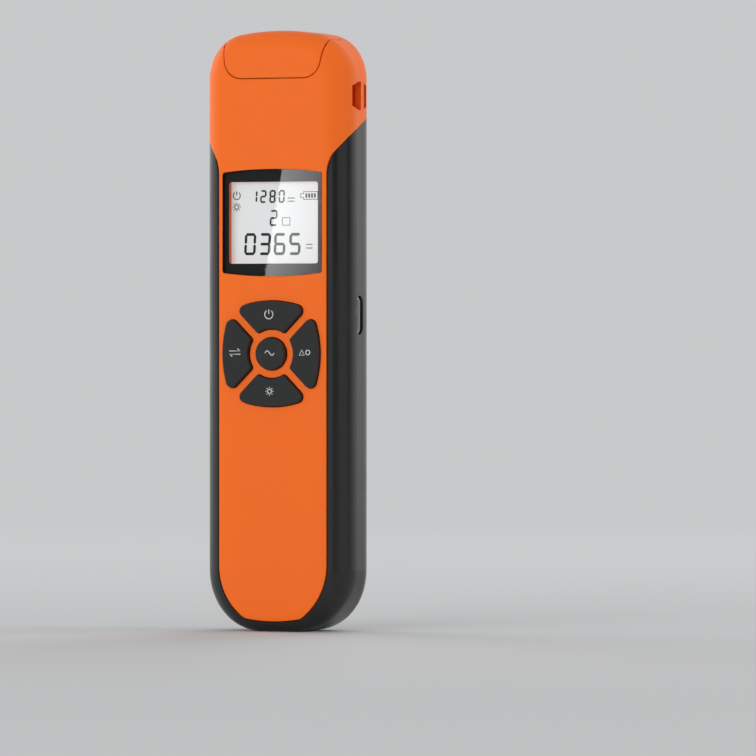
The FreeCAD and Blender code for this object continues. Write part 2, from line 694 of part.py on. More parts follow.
def make_keypad_mat():
    half = PAD_HALF + MAT_MARGIN
    mat = box(-half, half, BOARD_Y0 - CONTACT_GAP - MAT_T, BOARD_Y0 - CONTACT_GAP, PAD_Z - half, PAD_Z + half)
    mat = mat.makeFillet(MAT_CORNER_R, edges_along(mat, Vector(0, 1, 0)))
    return mat.cut(fused([rod_y(MAT_HOLE_R, x, z, FRONT, BACK) for x, z in STEM_PLACES]))


def make_domes():
    """Five shallow snap domes, each a slice off a ball, standing on the board."""
    ball_r = (DOME_R ** 2 + DOME_H ** 2) / (2 * DOME_H)
    domes = []
    for x, z in STEM_PLACES:
        ball = Part.makeSphere(ball_r, Vector(x, BOARD_Y0 - DOME_H + ball_r, z))
        domes.append(ball.common(box(x - DOME_R, x + DOME_R, BOARD_Y0 - DOME_H, BOARD_Y0, z - DOME_R, z + DOME_R)))
    return Part.makeCompound(domes)


# ---- housing shells ----
def make_front_shell(form, ring):
    shell = ring.common(orange_form(form))

    # bay under the cap, with its side walls, deck and hinge block
    bay = fused([
        lip_prism(CAP_GAP, FRONT - BEYOND, 0),
        box(-BAY_HALF, BAY_HALF, INNER_FRONT, INNER_BACK, DECK_TOP_Z, HEIGHT + BEYOND),
        box(-BAY_HALF, BAY_HALF, 0, BACK + BEYOND, DECK_TOP_Z, HEIGHT + BEYOND),
    ])
    outer = BAY_HALF + BAY_WALL
    bay_walls = both_sides(box(BAY_HALF, outer, FRONT, BACK, DECK_Z, HEIGHT)).common(form)
    deck = box(-outer, outer, INNER_FRONT - LAP, INNER_BACK + LAP, DECK_Z, DECK_TOP_Z)
    deck = deck.cut(rod_z(PORT_R + PORT_HOLE_PLAY, 0, PORT_Y, DECK_Z, DECK_TOP_Z))
    block = rod_x(HINGE_BLOCK_R, -BLOCK_HALF, BLOCK_HALF)
    trough = rod_x(SLOT_R + SLOT_WALL, -outer, outer)
    trough = trough.common(box(-outer, outer, 0, BACK, 0, DECK_TOP_Z))
    hinge = block.fuse(trough).common(form).common(above_line())
    shell = fused([shell.cut(bay), bay_walls, deck, hinge])
    lip = lip_prism(CAP_GAP, FRONT - BEYOND, 0)
    shell = shell.common(round_lip(form.cut(lip), form, lip))
    shell = shell.cut(both_sides(ear_slot(BLOCK_HALF, BAY_HALF)))
    shell = shell.cut(rod_x(PIN_R, -BAY_HALF, BAY_HALF))

    # strap eye: a pocket in the right side with a bar across it
    y0, y1 = EYE_Y - EYE_W / 2, EYE_Y + EYE_W / 2
    z0, z1 = EYE_Z - EYE_H / 2, EYE_Z + EYE_H / 2
    pocket_x = SIDE - EYE_DEPTH
    housing = box(pocket_x - EYE_WALL, SIDE - LAP, y0 - EYE_WALL, y1 + EYE_WALL, z0 - EYE_WALL, z1 + EYE_WALL)
    outline = polygon([Vector(pocket_x, y, z) for y, z in (
        (y0 + EYE_CUT_Y, z0), (y1 - EYE_CUT_Y, z0), (y1, z0 + EYE_CUT_Z), (y1, z1 - EYE_CUT_Z),
        (y1 - EYE_CUT_Y, z1), (y0 + EYE_CUT_Y, z1), (y0, z1 - EYE_CUT_Z), (y0, z0 + EYE_CUT_Z))])
    pocket = Part.Face(outline).extrude(Vector(EYE_DEPTH + BEYOND, 0, 0))
    bar = box(SIDE - EYE_BAR_T, SIDE + BEYOND, EYE_BAR_Y - EYE_BAR_W / 2, EYE_BAR_Y + EYE_BAR_W / 2, z0, z1)
    shell = fused([shell, housing.common(form)]).cut(pocket.cut(bar))

    # window seat, view opening and key holes
    seat = window_prism(WINDOW_PLAY, FRONT - BEYOND, FRONT + WINDOW_SINK + WINDOW_T)
    view = box(-VIEW_W / 2, VIEW_W / 2, FRONT - BEYOND, INNER_FRONT + COLLAR_RISE, VIEW_Z0, VIEW_Z1)
    collar = box(-VIEW_W / 2 - COLLAR_WALL, VIEW_W / 2 + COLLAR_WALL, INNER_FRONT - LAP, INNER_FRONT + COLLAR_RISE,
                 VIEW_Z0 - COLLAR_WALL, VIEW_Z1 + COLLAR_WALL)
    shell = fused([shell, collar]).cut(fused([seat, view]))
    for hole in key_holes():
        shell = shell.cut(hole)

    # screw bosses and board posts
    start = INNER_FRONT - LAP
    bosses = [rod_y(BOSS_R, x, z, start, SCREW_JOINT_Y) for x, z in SCREW_PLACES]
    posts = [rod_y(BOARD_POST_R, x, z, start, BOARD_Y0) for x, z in POST_PLACES]
    shell = fused([shell] + [piece.common(form) for piece in bosses + posts])
    pilots = [rod_y(SCREW_R, x, z, SCREW_SEAT - SCREW_LENGTH - PILOT_END, SCREW_JOINT_Y) for x, z in SCREW_PLACES]
    pilots += [rod_y(BOARD_SCREW_R, x, z, BOARD_Y1 - BOARD_SCREW_LENGTH - PILOT_END, BOARD_Y0)
               for x, z in POST_PLACES]
    return shell.cut(fused(pilots))


def usb_slot(half_gap, x0, x1):
    """Rounded slot along X in the shape of the USB-C shell, grown by half_gap."""
    r = USB_T / 2 + half_gap
    run = USB_W / 2 - USB_T / 2
    return fused([
        box(x0, x1, USB_Y - r, USB_Y + r, USB_Z - run, USB_Z + run),
        rod_x(r, x0, x1, USB_Y, USB_Z - run), rod_x(r, x0, x1, USB_Y, USB_Z + run),
    ])


def label_recess():
    """Shallow panel with three round corners and one cut corner."""
    half = LABEL_W / 2
    high = HEIGHT - LABEL_DROP
    low = high - LABEL_H
    points = [
        Vector(half, 0, low), Vector(half, 0, high), Vector(-half, 0, high),
        Vector(-half, 0, low + LABEL_CUT_H), Vector(LABEL_CUT_W - half, 0, low),
    ]
    panel = prism_y(polygon(points), BACK - LABEL_DEPTH, BACK + BEYOND)
    square = edges_along(panel, Vector(0, 1, 0), lambda p: p.x > 0 or p.z > high - SAME)
    return panel.makeFillet(LABEL_R, square)


def make_rear_shell(form, ring):
    region = fused([above_line(SEAM), front_strip(SEAM), shoulders(SEAM)])
    shell = ring.common(black_form(form))
    towers = [rod_y(WELL_R + WELL_WALL, x, z, SCREW_JOINT_Y, INNER_BACK + LAP) for x, z in SCREW_PLACES]
    rib_x = BATTERY_W / 2 + RIB_GAP
    ribs = both_sides(box(rib_x, rib_x + RIB_T, INNER_BACK - RIB_H, INNER_BACK + LAP,
                          BATTERY_Z0 + RIB_INSET, BATTERY_Z1 - RIB_INSET))
    inside = fused(towers + [ribs]).common(form).cut(region)
    shell = fused([shell, inside])
    cuts = [label_recess(), usb_slot(USB_PLAY, SIDE - 2 * WALL, SIDE + BEYOND)]
    for x, z in SCREW_PLACES:
        cuts.append(rod_y(WELL_R, x, z, SCREW_SEAT, BACK + BEYOND))
        cuts.append(rod_y(SCREW_R + SCREW_PLAY, x, z, SCREW_JOINT_Y, SCREW_SEAT))
    for cut in cuts:
        shell = shell.cut(cut)
    return shell


# ---- board and what it carries ----
def make_board():
    board = box(-BOARD_HALF, BOARD_HALF, BOARD_Y0, BOARD_Y1, BOARD_Z0, BOARD_Z1)
    board = board.makeFillet(BOARD_CORNER_R, edges_along(board, Vector(0, 1, 0)))
    holes = [rod_y(BOSS_R + BOSS_BOARD_PLAY, x, z, BOARD_Y0, BOARD_Y1) for x, z in SCREW_PLACES]
    holes += [rod_y(BOARD_SCREW_R + BOARD_SCREW_PLAY, x, z, BOARD_Y0, BOARD_Y1) for x, z in POST_PLACES]
    return board.cut(fused(holes))


def chip(size, x, drop):
    """Square chip package lying on the back of the board."""
    z = BOARD_Z1 - drop
    body = box(x - size / 2, x + size / 2, BOARD_Y1, BOARD_Y1 + CHIP_T, z - size / 2, z + size / 2)
    return body.makeChamfer(CHIP_CHAMFER, [e for e in body.Edges if e.BoundBox.YMin > BOARD_Y1 + CHIP_T / 2])


def make_crystal():
    """Crystal in its oval metal can, lying on the back of the board."""
    z = BOARD_Z1 - PROCESSOR_DROP
    can = box(CRYSTAL_X - CRYSTAL_W / 2, CRYSTAL_X + CRYSTAL_W / 2, BOARD_Y1, BOARD_Y1 + CRYSTAL_T,
              z - CRYSTAL_L / 2, z + CRYSTAL_L / 2)
    return can.makeFillet(CRYSTAL_CORNER_R, edges_along(can, Vector(0, 1, 0)))


def make_usb_shell():
    mouth = SIDE - USB_SINK
    shell = usb_slot(0, mouth - USB_LENGTH, mouth)
    return shell.cut(usb_slot(-USB_METAL, mouth - USB_LENGTH + USB_METAL, mouth + BEYOND))


def make_usb_tongue():
    x0 = SIDE - USB_SINK - USB_LENGTH + USB_METAL
    x1 = SIDE - USB_SINK - TONGUE_SINK
    base = usb_slot(-USB_METAL, x0, x0 + TONGUE_BASE_T)
    blade = box(x0, x1, USB_Y - TONGUE_T / 2, USB_Y + TONGUE_T / 2, USB_Z - TONGUE_W / 2, USB_Z + TONGUE_W / 2)
    blade = blade.makeFillet(TONGUE_EDGE_R, edges_along(blade, Vector(0, 0, 1), lambda p: p.x > x1 - SAME))
    return fused([base, blade])


def make_battery():
    cell = box(-BATTERY_W / 2, BATTERY_W / 2, BATTERY_Y0, BATTERY_Y1, BATTERY_Z0, BATTERY_Z1)
    return cell.makeFillet(BATTERY_EDGE_R, edges_along(cell, Vector(0, 0, 1)))


def make_battery_tabs():
    """Two nickel tabs: up from the top of the cell, then level to the back of the board."""
    y = (BATTERY_Y0 + BATTERY_Y1) / 2
    top = BATTERY_Z1 + TAB_RISE
    tab = fused([
        box(TAB_X - TAB_W / 2, TAB_X + TAB_W / 2, y - TAB_T, y, BATTERY_Z1, top),
        box(TAB_X - TAB_W / 2, TAB_X + TAB_W / 2, BOARD_Y1, y, top - TAB_T, top),
    ])
    return Part.makeCompound([tab, tab.mirror(Vector(0, 0, 0), Vector(1, 0, 0))])


def make_battery_tape():
    half = BATTERY_W / 2 - TAPE_MARGIN
    return box(-half, half, BATTERY_Y1, BATTERY_Y1 + TAPE_T, BATTERY_Z0 + TAPE_MARGIN, BATTERY_Z1 - TAPE_MARGIN)


# ---- optical port and detector ----
def make_adapter_body():
    body = rod_z(PORT_R, 0, PORT_Y, PORT_FOOT_Z, PORT_TOP_Z)
    ends = [e for e in body.Edges if abs(e.BoundBox.ZMin - PORT_TOP_Z) < SAME and e.BoundBox.XLength > PORT_R]
    body = body.makeChamfer(PORT_CHAMFER, ends)
    body = fused([body, rod_z(PORT_FLANGE_R, 0, PORT_Y, DECK_TOP_Z, DECK_TOP_Z + PORT_FLANGE_T)])
    body = body.cut(rod_z(PORT_BORE_R, 0, PORT_Y, CAN_TOP_Z, PORT_TOP_Z))
    return body.cut(rod_z(CAN_R + CAN_PLAY, 0, PORT_Y, PORT_FOOT_Z, CAN_TOP_Z))


def make_adapter_nut():
    across_corners = NUT_FLATS / math.cos(math.radians(30))
    corners = [Vector(across_corners / 2 * math.cos(math.radians(60 * n)),
                      PORT_Y + across_corners / 2 * math.sin(math.radians(60 * n)), DECK_Z - NUT_T)
               for n in range(6)]
    nut = Part.Face(polygon(corners)).extrude(Vector(0, 0, NUT_T))
    return nut.cut(rod_z(PORT_R, 0, PORT_Y, DECK_Z - NUT_T, DECK_Z))


def make_ferrule_sleeve():
    z0, z1 = CAN_TOP_Z + SLEEVE_FOOT, PORT_TOP_Z - SLEEVE_DOWN
    sleeve = rod_z(PORT_BORE_R, 0, PORT_Y, z0, z1)
    return sleeve.cut(rod_z(FERRULE_R + FERRULE_PLAY, 0, PORT_Y, z0, z1))


def make_detector():
    """The photodiode's can with its rim, and the glass disc in its top."""
    can = rod_z(CAN_R, 0, PORT_Y, CAN_Z0, CAN_TOP_Z - CAN_PLAY)
    can = fused([can, rod_z(CAN_RIM_R, 0, PORT_Y, CAN_Z0, CAN_Z0 + CAN_RIM_T)])
    top = CAN_TOP_Z - CAN_PLAY
    glass = rod_z(CAN_WINDOW_R, 0, PORT_Y, top - CAN_WINDOW_T, top)
    return can.cut(glass), glass


def make_detector_leads():
    """Three wires: down from the can, across to the back of the board, and down it to their solder pads."""
    turn_z = CAN_Z0 - LEAD_STEP
    low = BOARD_Z1 - LEAD_LAP
    pad_y = BOARD_Y1 + LEAD_R
    leads = []
    for n in (-1, 0, 1):
        x = n * LEAD_PITCH
        path = Part.makePolygon([Vector(x, PORT_Y, CAN_Z0), Vector(x, PORT_Y, turn_z),
                                 Vector(x, pad_y, turn_z), Vector(x, pad_y, low)])
        section = Part.Wire(Part.makeCircle(LEAD_R, Vector(x, PORT_Y, CAN_Z0), Vector(0, 0, 1)))
        leads.append(path.makePipeShell([section], True, False, 1))
    return Part.makeCompound(leads)


# ---- screws ----
def screw(x, z, head_y0, head_t, head_r, shank_r, length):
    """Cross-head screw along Y: its head lies from head_y0 outwards and its shank runs towards the front."""
    head = rod_y(head_r, x, z, head_y0, head_y0 + head_t)
    rim = [e for e in head.Edges if e.BoundBox.YMin > head_y0 + head_t - SAME]
    head = head.makeChamfer(HEAD_CHAMFER, rim)
    body = fused([head, rod_y(shank_r, x, z, head_y0 - length, head_y0)])
    half_l, half_w = head_r * CROSS_REACH, CROSS_W / 2
    y0, y1 = head_y0 + head_t * (1 - CROSS_SINK), head_y0 + head_t
    cross = fused([box(x - half_l, x + half_l, y0, y1, z - half_w, z + half_w),
                   box(x - half_w, x + half_w, y0, y1, z - half_l, z + half_l)])
    return body.cut(cross)


# ---- build ----
form = housing_form()
ring = form.cut(housing_form(WALL))

save("front_shell", make_front_shell(form, ring))
save("rear_shell", make_rear_shell(form, ring))
save("flip_cap", make_flip_cap(form))
save("cap_hinge_pin", rod_x(PIN_R, PIN_END_GAP - CAP_HALF, CAP_HALF - PIN_END_GAP))

save("display_window", window_prism(0, FRONT + WINDOW_SINK, FRONT + WINDOW_SINK + WINDOW_T))
save("lcd_panel", box(-LCD_W / 2, LCD_W / 2, LCD_Y0, LCD_Y1, LCD_Z0, LCD_Z1))
save("lcd_backlight", box(-BACKLIGHT_W / 2, BACKLIGHT_W / 2, LCD_Y1, BOARD_Y0 - CONTACT_GAP,
                          LCD_Z0 + BACKLIGHT_RISE, LCD_Z1))
save("lcd_connector", box(-CONNECTOR_W / 2, CONNECTOR_W / 2, LCD_Y1, BOARD_Y0, LCD_Z0, LCD_Z0 + CONNECTOR_H))

for key_name, key_shape in make_keys().items():
    save(key_name, key_shape)
save("keypad_mat", make_keypad_mat())
save("key_domes", make_domes())

save("main_board", make_board())
save("processor_chip", chip(PROCESSOR_SIZE, 0, PROCESSOR_DROP))
save("amplifier_chip", chip(AMPLIFIER_SIZE, 0, AMPLIFIER_DROP))
save("charger_chip", chip(CHARGER_SIZE, CHARGER_X, CHARGER_DROP))
save("crystal_can", make_crystal())
save("usb_shell", make_usb_shell())
save("usb_tongue", make_usb_tongue())

save("battery_cell", make_battery())
save("battery_tape", make_battery_tape())
save("battery_tabs", make_battery_tabs())

save("adapter_body", make_adapter_body())
save("adapter_nut", make_adapter_nut())
save("ferrule_sleeve", make_ferrule_sleeve())
detector_can, detector_window = make_detector()
save("detector_can", detector_can)
save("detector_window", detector_window)
save("detector_leads", make_detector_leads())

save("housing_screws", Part.makeCompound([
    screw(x, z, SCREW_SEAT, SCREW_HEAD_T, SCREW_HEAD_R, SCREW_R, SCREW_LENGTH) for x, z in SCREW_PLACES]))
save("board_screws", Part.makeCompound([
    screw(x, z, BOARD_Y1, BOARD_SCREW_HEAD_T, BOARD_SCREW_HEAD_R, BOARD_SCREW_R, BOARD_SCREW_LENGTH)
    for x, z in POST_PLACES]))
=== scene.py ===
"""A hand-held optical power meter dressed for the studio.

An orange and black moulded housing with its flip cap, the window over a segment display, five
printed keys, and the metal parts that show at the port, the socket and the back.
"""
import bpy
import math
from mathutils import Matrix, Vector


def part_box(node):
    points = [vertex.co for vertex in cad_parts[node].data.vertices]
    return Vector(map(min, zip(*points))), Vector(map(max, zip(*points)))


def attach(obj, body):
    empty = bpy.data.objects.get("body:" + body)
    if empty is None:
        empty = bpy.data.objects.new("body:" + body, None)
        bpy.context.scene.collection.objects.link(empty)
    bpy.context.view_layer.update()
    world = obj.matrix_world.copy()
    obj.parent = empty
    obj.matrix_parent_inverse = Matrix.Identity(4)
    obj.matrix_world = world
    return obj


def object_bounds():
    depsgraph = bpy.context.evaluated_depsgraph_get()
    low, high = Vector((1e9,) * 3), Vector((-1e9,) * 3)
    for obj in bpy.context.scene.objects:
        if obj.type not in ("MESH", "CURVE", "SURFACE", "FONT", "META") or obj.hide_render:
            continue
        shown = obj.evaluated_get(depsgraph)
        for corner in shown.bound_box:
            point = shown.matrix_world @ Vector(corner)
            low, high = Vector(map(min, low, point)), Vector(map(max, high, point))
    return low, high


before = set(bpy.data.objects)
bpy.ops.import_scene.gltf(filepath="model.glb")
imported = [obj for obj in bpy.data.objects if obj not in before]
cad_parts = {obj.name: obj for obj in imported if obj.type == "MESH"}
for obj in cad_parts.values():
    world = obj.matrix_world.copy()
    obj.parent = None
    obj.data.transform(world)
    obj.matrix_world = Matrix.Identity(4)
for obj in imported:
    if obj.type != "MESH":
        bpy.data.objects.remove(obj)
cad_box = [list(corner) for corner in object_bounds()]
MM = 0.001


# ---- The view: a long lens level with the meter's middle, turned a little to its right side ----
# The meter stands left of the middle of the picture and a little above it.
VIEW_TURN = math.radians(24.5)
VIEW_DISTANCE = 1.65
VIEW_LENS = 318
VIEW_ASIDE = 22.5 * MM
VIEW_BELOW = 11.6 * MM
VIEW_REACH = 50

low, high = (Vector(corner) for corner in cad_box)
middle = (low + high) / 2
outwards = Vector((math.sin(VIEW_TURN), -math.cos(VIEW_TURN), 0))
rightwards = Vector((math.cos(VIEW_TURN), math.sin(VIEW_TURN), 0))
aim = middle + rightwards * VIEW_ASIDE - Vector((0, 0, VIEW_BELOW))
bpy.ops.object.camera_add(location=middle + outwards * VIEW_DISTANCE)
camera = bpy.context.object
camera.rotation_euler = (aim - camera.location).to_track_quat("-Z", "Y").to_euler()
camera.data.lens = VIEW_LENS
camera.data.clip_end = VIEW_REACH
bpy.context.scene.camera = camera
bpy.context.scene.view_settings.view_transform = "Standard"


# ---- The table and the backdrop: a matt pale table top that runs out into an even backdrop ----
# Near the meter the table takes its shadow. Farther off it has the colour of the backdrop, so that
# no horizon shows.
BACKDROP = "#C8C9CA"
TABLE_TINT = "#C4C5C6"              # under the lamps this comes out as pale as the backdrop
TABLE_RADIUS = 12.0
FADE_START, FADE_END = 0.25, 0.95   # distances at which table begins and ends turning to backdrop
AMBIENT = 0.52                      # light from all round, where 1 is a white room


def linear(text):
    """An sRGB hex value as linear red, green, blue and alpha."""
    parts = [int(text[n:n + 2], 16) / 255 for n in (1, 3, 5)]
    return [c / 12.92 if c <= 0.04045 else ((c + 0.055) / 1.055) ** 2.4 for c in parts] + [1.0]


def add_node(tree, kind, inputs=None, **settings):
    """A node with its settings, and a value or a link on each named or numbered input."""
    new = tree.nodes.new(kind)
    for name, value in settings.items():
        setattr(new, name, value)
    for name, value in (inputs or {}).items():
        if isinstance(value, bpy.types.NodeSocket):
            tree.links.new(value, new.inputs[name])
        else:
            new.inputs[name].default_value = value
    return new


def new_material(name):
    """An empty material and its node tree."""
    material = bpy.data.materials.new(name)
    material.use_nodes = True
    material.node_tree.nodes.clear()
    return material, material.node_tree


bpy.ops.object.select_all(action="DESELECT")
bpy.ops.mesh.primitive_circle_add(vertices=96, radius=TABLE_RADIUS, fill_type="NGON")
table = bpy.context.object
table.name = "table_top"
pale, tree = new_material("matt_table_board")
place = add_node(tree, "ShaderNodeTexCoord").outputs["Object"]
away = add_node(tree, "ShaderNodeVectorMath", {0: place}, operation="LENGTH").outputs["Value"]
fade = add_node(tree, "ShaderNodeMapRange", {
    "Value": away, "From Min": FADE_START, "From Max": FADE_END}, interpolation_type="SMOOTHSTEP")
board = add_node(tree, "ShaderNodeBsdfDiffuse", {"Color": linear(TABLE_TINT)})
glow = add_node(tree, "ShaderNodeEmission", {"Color": linear(BACKDROP), "Strength": 1.0})
both = add_node(tree, "ShaderNodeMixShader", {
    0: fade.outputs["Result"], 1: board.outputs[0], 2: glow.outputs[0]})
add_node(tree, "ShaderNodeOutputMaterial", {"Surface": both.outputs[0]})
table.data.materials.append(pale)

world = bpy.data.worlds.new("studio")
bpy.context.scene.world = world
world.use_nodes = True
world.node_tree.nodes.clear()
tree = world.node_tree
path = add_node(tree, "ShaderNodeLightPath").outputs
seen = add_node(tree, "ShaderNodeMath", {
    0: path["Is Camera Ray"], 1: path["Is Glossy Ray"]}, operation="MAXIMUM")
seen = add_node(tree, "ShaderNodeMath", {
    0: seen.outputs[0], 1: path["Is Transmission Ray"]}, operation="MAXIMUM")
plain = add_node(tree, "ShaderNodeBackground", {"Color": linear("#FFFFFF"), "Strength": AMBIENT})
shown = add_node(tree, "ShaderNodeBackground", {"Color": linear(BACKDROP), "Strength": 1.0})
both = add_node(tree, "ShaderNodeMixShader", {
    0: seen.outputs[0], 1: plain.outputs[0], 2: shown.outputs[0]})
add_node(tree, "ShaderNodeOutputWorld", {"Surface": both.outputs[0]})


# ---- The lamps: four large soft boxes low round the meter ----
# Low lamps give the upright faces more light than the top. Each is placed by its direction from
# the meter, as degrees round from the front and degrees up.
LAMP_DISTANCE = 2.2


def direction_of(turn, rise):
    """Unit vector away from the meter, for degrees round from the front and degrees up."""
    a, e = math.radians(turn), math.radians(rise)
    return Vector((math.sin(a) * math.cos(e), -math.cos(a) * math.cos(e), math.sin(e)))


def add_softbox(name, turn, rise, width, height, brightness):
    """A flat lamp facing the meter. Brightness is that of its face, where 1 is white."""
    direction = direction_of(turn, rise)
    bpy.ops.object.light_add(type="AREA", location=middle + direction * LAMP_DISTANCE)
    lamp = bpy.context.object
    lamp.name = name
    lamp.rotation_euler = direction.to_track_quat("Z", "Y").to_euler()
    lamp.data.shape = "RECTANGLE"
    lamp.data.size, lamp.data.size_y = width, height
    lamp.data.energy = brightness * math.pi * width * height
    lamp.visible_camera = lamp.visible_glossy = False


add_softbox("key_softbox", turn=-14, rise=9, width=1.8, height=0.7, brightness=6.7)
add_softbox("right_softbox", turn=112, rise=14, width=1.4, height=0.8, brightness=5.0)
add_softbox("left_softbox", turn=-108, rise=14, width=1.4, height=0.8, brightness=5.2)
add_softbox("back_softbox", turn=180, rise=30, width=1.6, height=0.9, brightness=4.2)


# ---- Studio cards: flat boards outside the view, which the glossy skins of the meter mirror ----
# Matt black ones draw dark lines down the round black sides, white ones lighten the edges beside
# them, and a small lit one shows its slanting edge as a gloss on the display window.
CARD_DISTANCE = 1.2
CARD_HEIGHT = 1.4
FRONT_FLAG_TURN, FRONT_FLAG_DISTANCE = -24, 2.6
FRONT_FLAG_WIDTH, FRONT_FLAG_HEIGHT = 2.2, 2.0
GLOSS_BRIGHT, GLOSS_DIM = 6.0, 0.2      # the lit card's two edges, where 1 is white
GLOSS_WIDTH, GLOSS_HEIGHT = 0.042, 0.2
GLOSS_LEAN = -9.0
GLOSS_DISTANCE = 2.2
GLOSS_ASIDE, GLOSS_UP = 0.6, 0.15       # mm from the window's middle to where the gloss starts


def add_card(name, turn, rise, width, height, lean=0.0, distance=CARD_DISTANCE, centre=middle):
    """A flat card facing the meter, its local X towards a larger turn and its local Y up."""
    direction = direction_of(turn, rise)
    bpy.ops.object.select_all(action="DESELECT")
    bpy.ops.mesh.primitive_plane_add(size=1, location=centre + direction * distance)
    card = bpy.context.object
    card.name = name
    card.scale = (width, height, 1)
    card.rotation_euler = direction.to_track_quat("Z", "Y").to_euler()
    card.rotation_euler.rotate_axis("Z", math.radians(lean))
    card.visible_camera = card.visible_diffuse = card.visible_shadow = False
    return card


black_card, tree = new_material("matt_black_card")
board = add_node(tree, "ShaderNodeEmission", {"Color": linear("#222222"), "Strength": 1.0})
add_node(tree, "ShaderNodeOutputMaterial", {"Surface": board.outputs[0]})
for name, turn, width in (("front_right_flag", 49, 0.44), ("rear_right_flag", 105, 0.26)):
    add_card(name, turn, 0, width, CARD_HEIGHT).data.materials.append(black_card)
flag = add_card("front_flag", FRONT_FLAG_TURN, 0, FRONT_FLAG_WIDTH, FRONT_FLAG_HEIGHT,
                distance=FRONT_FLAG_DISTANCE)
flag.data.materials.append(black_card)

white_card, tree = new_material("white_card")
board = add_node(tree, "ShaderNodeEmission", {"Color": linear("#FFFFFF"), "Strength": 0.95})
add_node(tree, "ShaderNodeOutputMaterial", {"Surface": board.outputs[0]})
for name, turn, width in (("front_right_card", 26, 0.36), ("rear_right_card", 150, 1.1),
                          ("left_card", -110, 1.4)):
    add_card(name, turn, 0, width, CARD_HEIGHT).data.materials.append(white_card)

window_low, window_high = (Vector(corner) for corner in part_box("display_window"))
window_middle = (window_low + window_high) / 2
window_size = window_high - window_low
gloss_start = Vector((window_middle.x + GLOSS_ASIDE * MM, window_low.y,
                      window_middle.z + GLOSS_UP * MM))
seen_from = (camera.location - gloss_start).normalized()
mirrored = Vector((-seen_from.x, seen_from.y, -seen_from.z))
gloss_turn = math.degrees(math.atan2(mirrored.x, -mirrored.y))
gloss_rise = math.degrees(math.asin(mirrored.z))
half_turn = math.degrees(GLOSS_WIDTH / 2 / GLOSS_DISTANCE)
gloss_card, tree = new_material("lit_card")
place = add_node(tree, "ShaderNodeTexCoord").outputs["Object"]
across = add_node(tree, "ShaderNodeSeparateXYZ", {0: place}).outputs["X"]
level = add_node(tree, "ShaderNodeMapRange", {
    "Value": across, "From Min": -0.5, "From Max": 0.5, "To Min": GLOSS_BRIGHT,
    "To Max": GLOSS_DIM})
glow = add_node(tree, "ShaderNodeEmission", {
    "Color": linear("#FFFFFF"), "Strength": level.outputs[0]})
add_node(tree, "ShaderNodeOutputMaterial", {"Surface": glow.outputs[0]})
lit = add_card("window_gloss_card", gloss_turn + half_turn, gloss_rise, GLOSS_WIDTH, GLOSS_HEIGHT,
               GLOSS_LEAN, GLOSS_DISTANCE, gloss_start)
lit.data.materials.append(gloss_card)


# ---- Front shell and flip cap: injection-moulded ABS in orange ----
# The front half of the housing with its hinge block, and the cap on it. A satin, finely
# spark-textured skin gives the lamps broad soft highlights.
ORANGE = "#F06A14"
ABS_GRAIN_MM = 0.25         # the real texture is about 0.1 mm, drawn coarser so that it shows
ABS_DEPTH_MM = 0.004
PATCH_MM = 14.0             # size of the faint patches in which a moulding's gloss and tint vary
PATCH_GLOSS = 0.04
PATCH_SHADE = 0.97


def finish_nodes(material, *names):
    """Puts a material on CAD nodes."""
    for name in names:
        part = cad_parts[name]
        part.data.materials.clear()
        part.data.materials.append(material)


def moulded_plastic(name, tint, roughness, grain_mm, depth_mm, specular=0.5):
    """Moulded plastic with a fine even texture and a little unevenness in its gloss."""
    material, tree = new_material(name)
    place = add_node(tree, "ShaderNodeTexCoord").outputs["Object"]
    grain = add_node(tree, "ShaderNodeTexNoise", {
        "Vector": place, "Scale": 1 / (grain_mm * MM), "Detail": 2.0})
    bump = add_node(tree, "ShaderNodeBump", {
        "Height": grain.outputs["Fac"], "Strength": 0.6, "Distance": depth_mm * MM})
    patches = add_node(tree, "ShaderNodeTexNoise", {
        "Vector": place, "Scale": 1 / (PATCH_MM * MM), "Detail": 3.0})
    gloss = add_node(tree, "ShaderNodeMapRange", {
        "Value": patches.outputs["Fac"], "From Min": 0.3, "From Max": 0.7,
        "To Min": roughness - PATCH_GLOSS, "To Max": roughness + PATCH_GLOSS})
    dark = [c * PATCH_SHADE for c in linear(tint)[:3]] + [1.0]
    colour = add_node(tree, "ShaderNodeMix", {
        "Factor": patches.outputs["Fac"], "A": dark, "B": linear(tint)}, data_type="RGBA")
    skin = add_node(tree, "ShaderNodeBsdfPrincipled", {
        "Base Color": colour.outputs["Result"], "Roughness": gloss.outputs["Result"],
        "Normal": bump.outputs[0], "IOR": 1.5, "Specular IOR Level": specular})
    add_node(tree, "ShaderNodeOutputMaterial", {"Surface": skin.outputs[0]})
    return material


orange_abs = moulded_plastic("orange_satin_abs", ORANGE, roughness=0.44, grain_mm=ABS_GRAIN_MM,
                             depth_mm=ABS_DEPTH_MM, specular=0.35)
finish_nodes(orange_abs, "front_shell", "flip_cap")


# ---- Rear shell: the same ABS in black, screwed to the front shell from behind ----
# It curls round to the front as a rim. Its tool is polished finer than the orange one, so the
# round sides mirror what stands beside them in soft upright bands.
black_abs = moulded_plastic("black_satin_abs", "#191919", roughness=0.27, grain_mm=ABS_GRAIN_MM,
                            depth_mm=ABS_DEPTH_MM)
finish_nodes(black_abs, "rear_shell")


# ---- Hinge pin, key domes, crystal can and screws: steel, drawn, pressed or turned ----
# It is left bright or zinc plated. The skin has fine lines along the way it was worked, so the
# gloss is uneven and reflections are drawn out.
STREAK_SMOOTHER, STREAK_ROUGHER = 0.06, 0.08


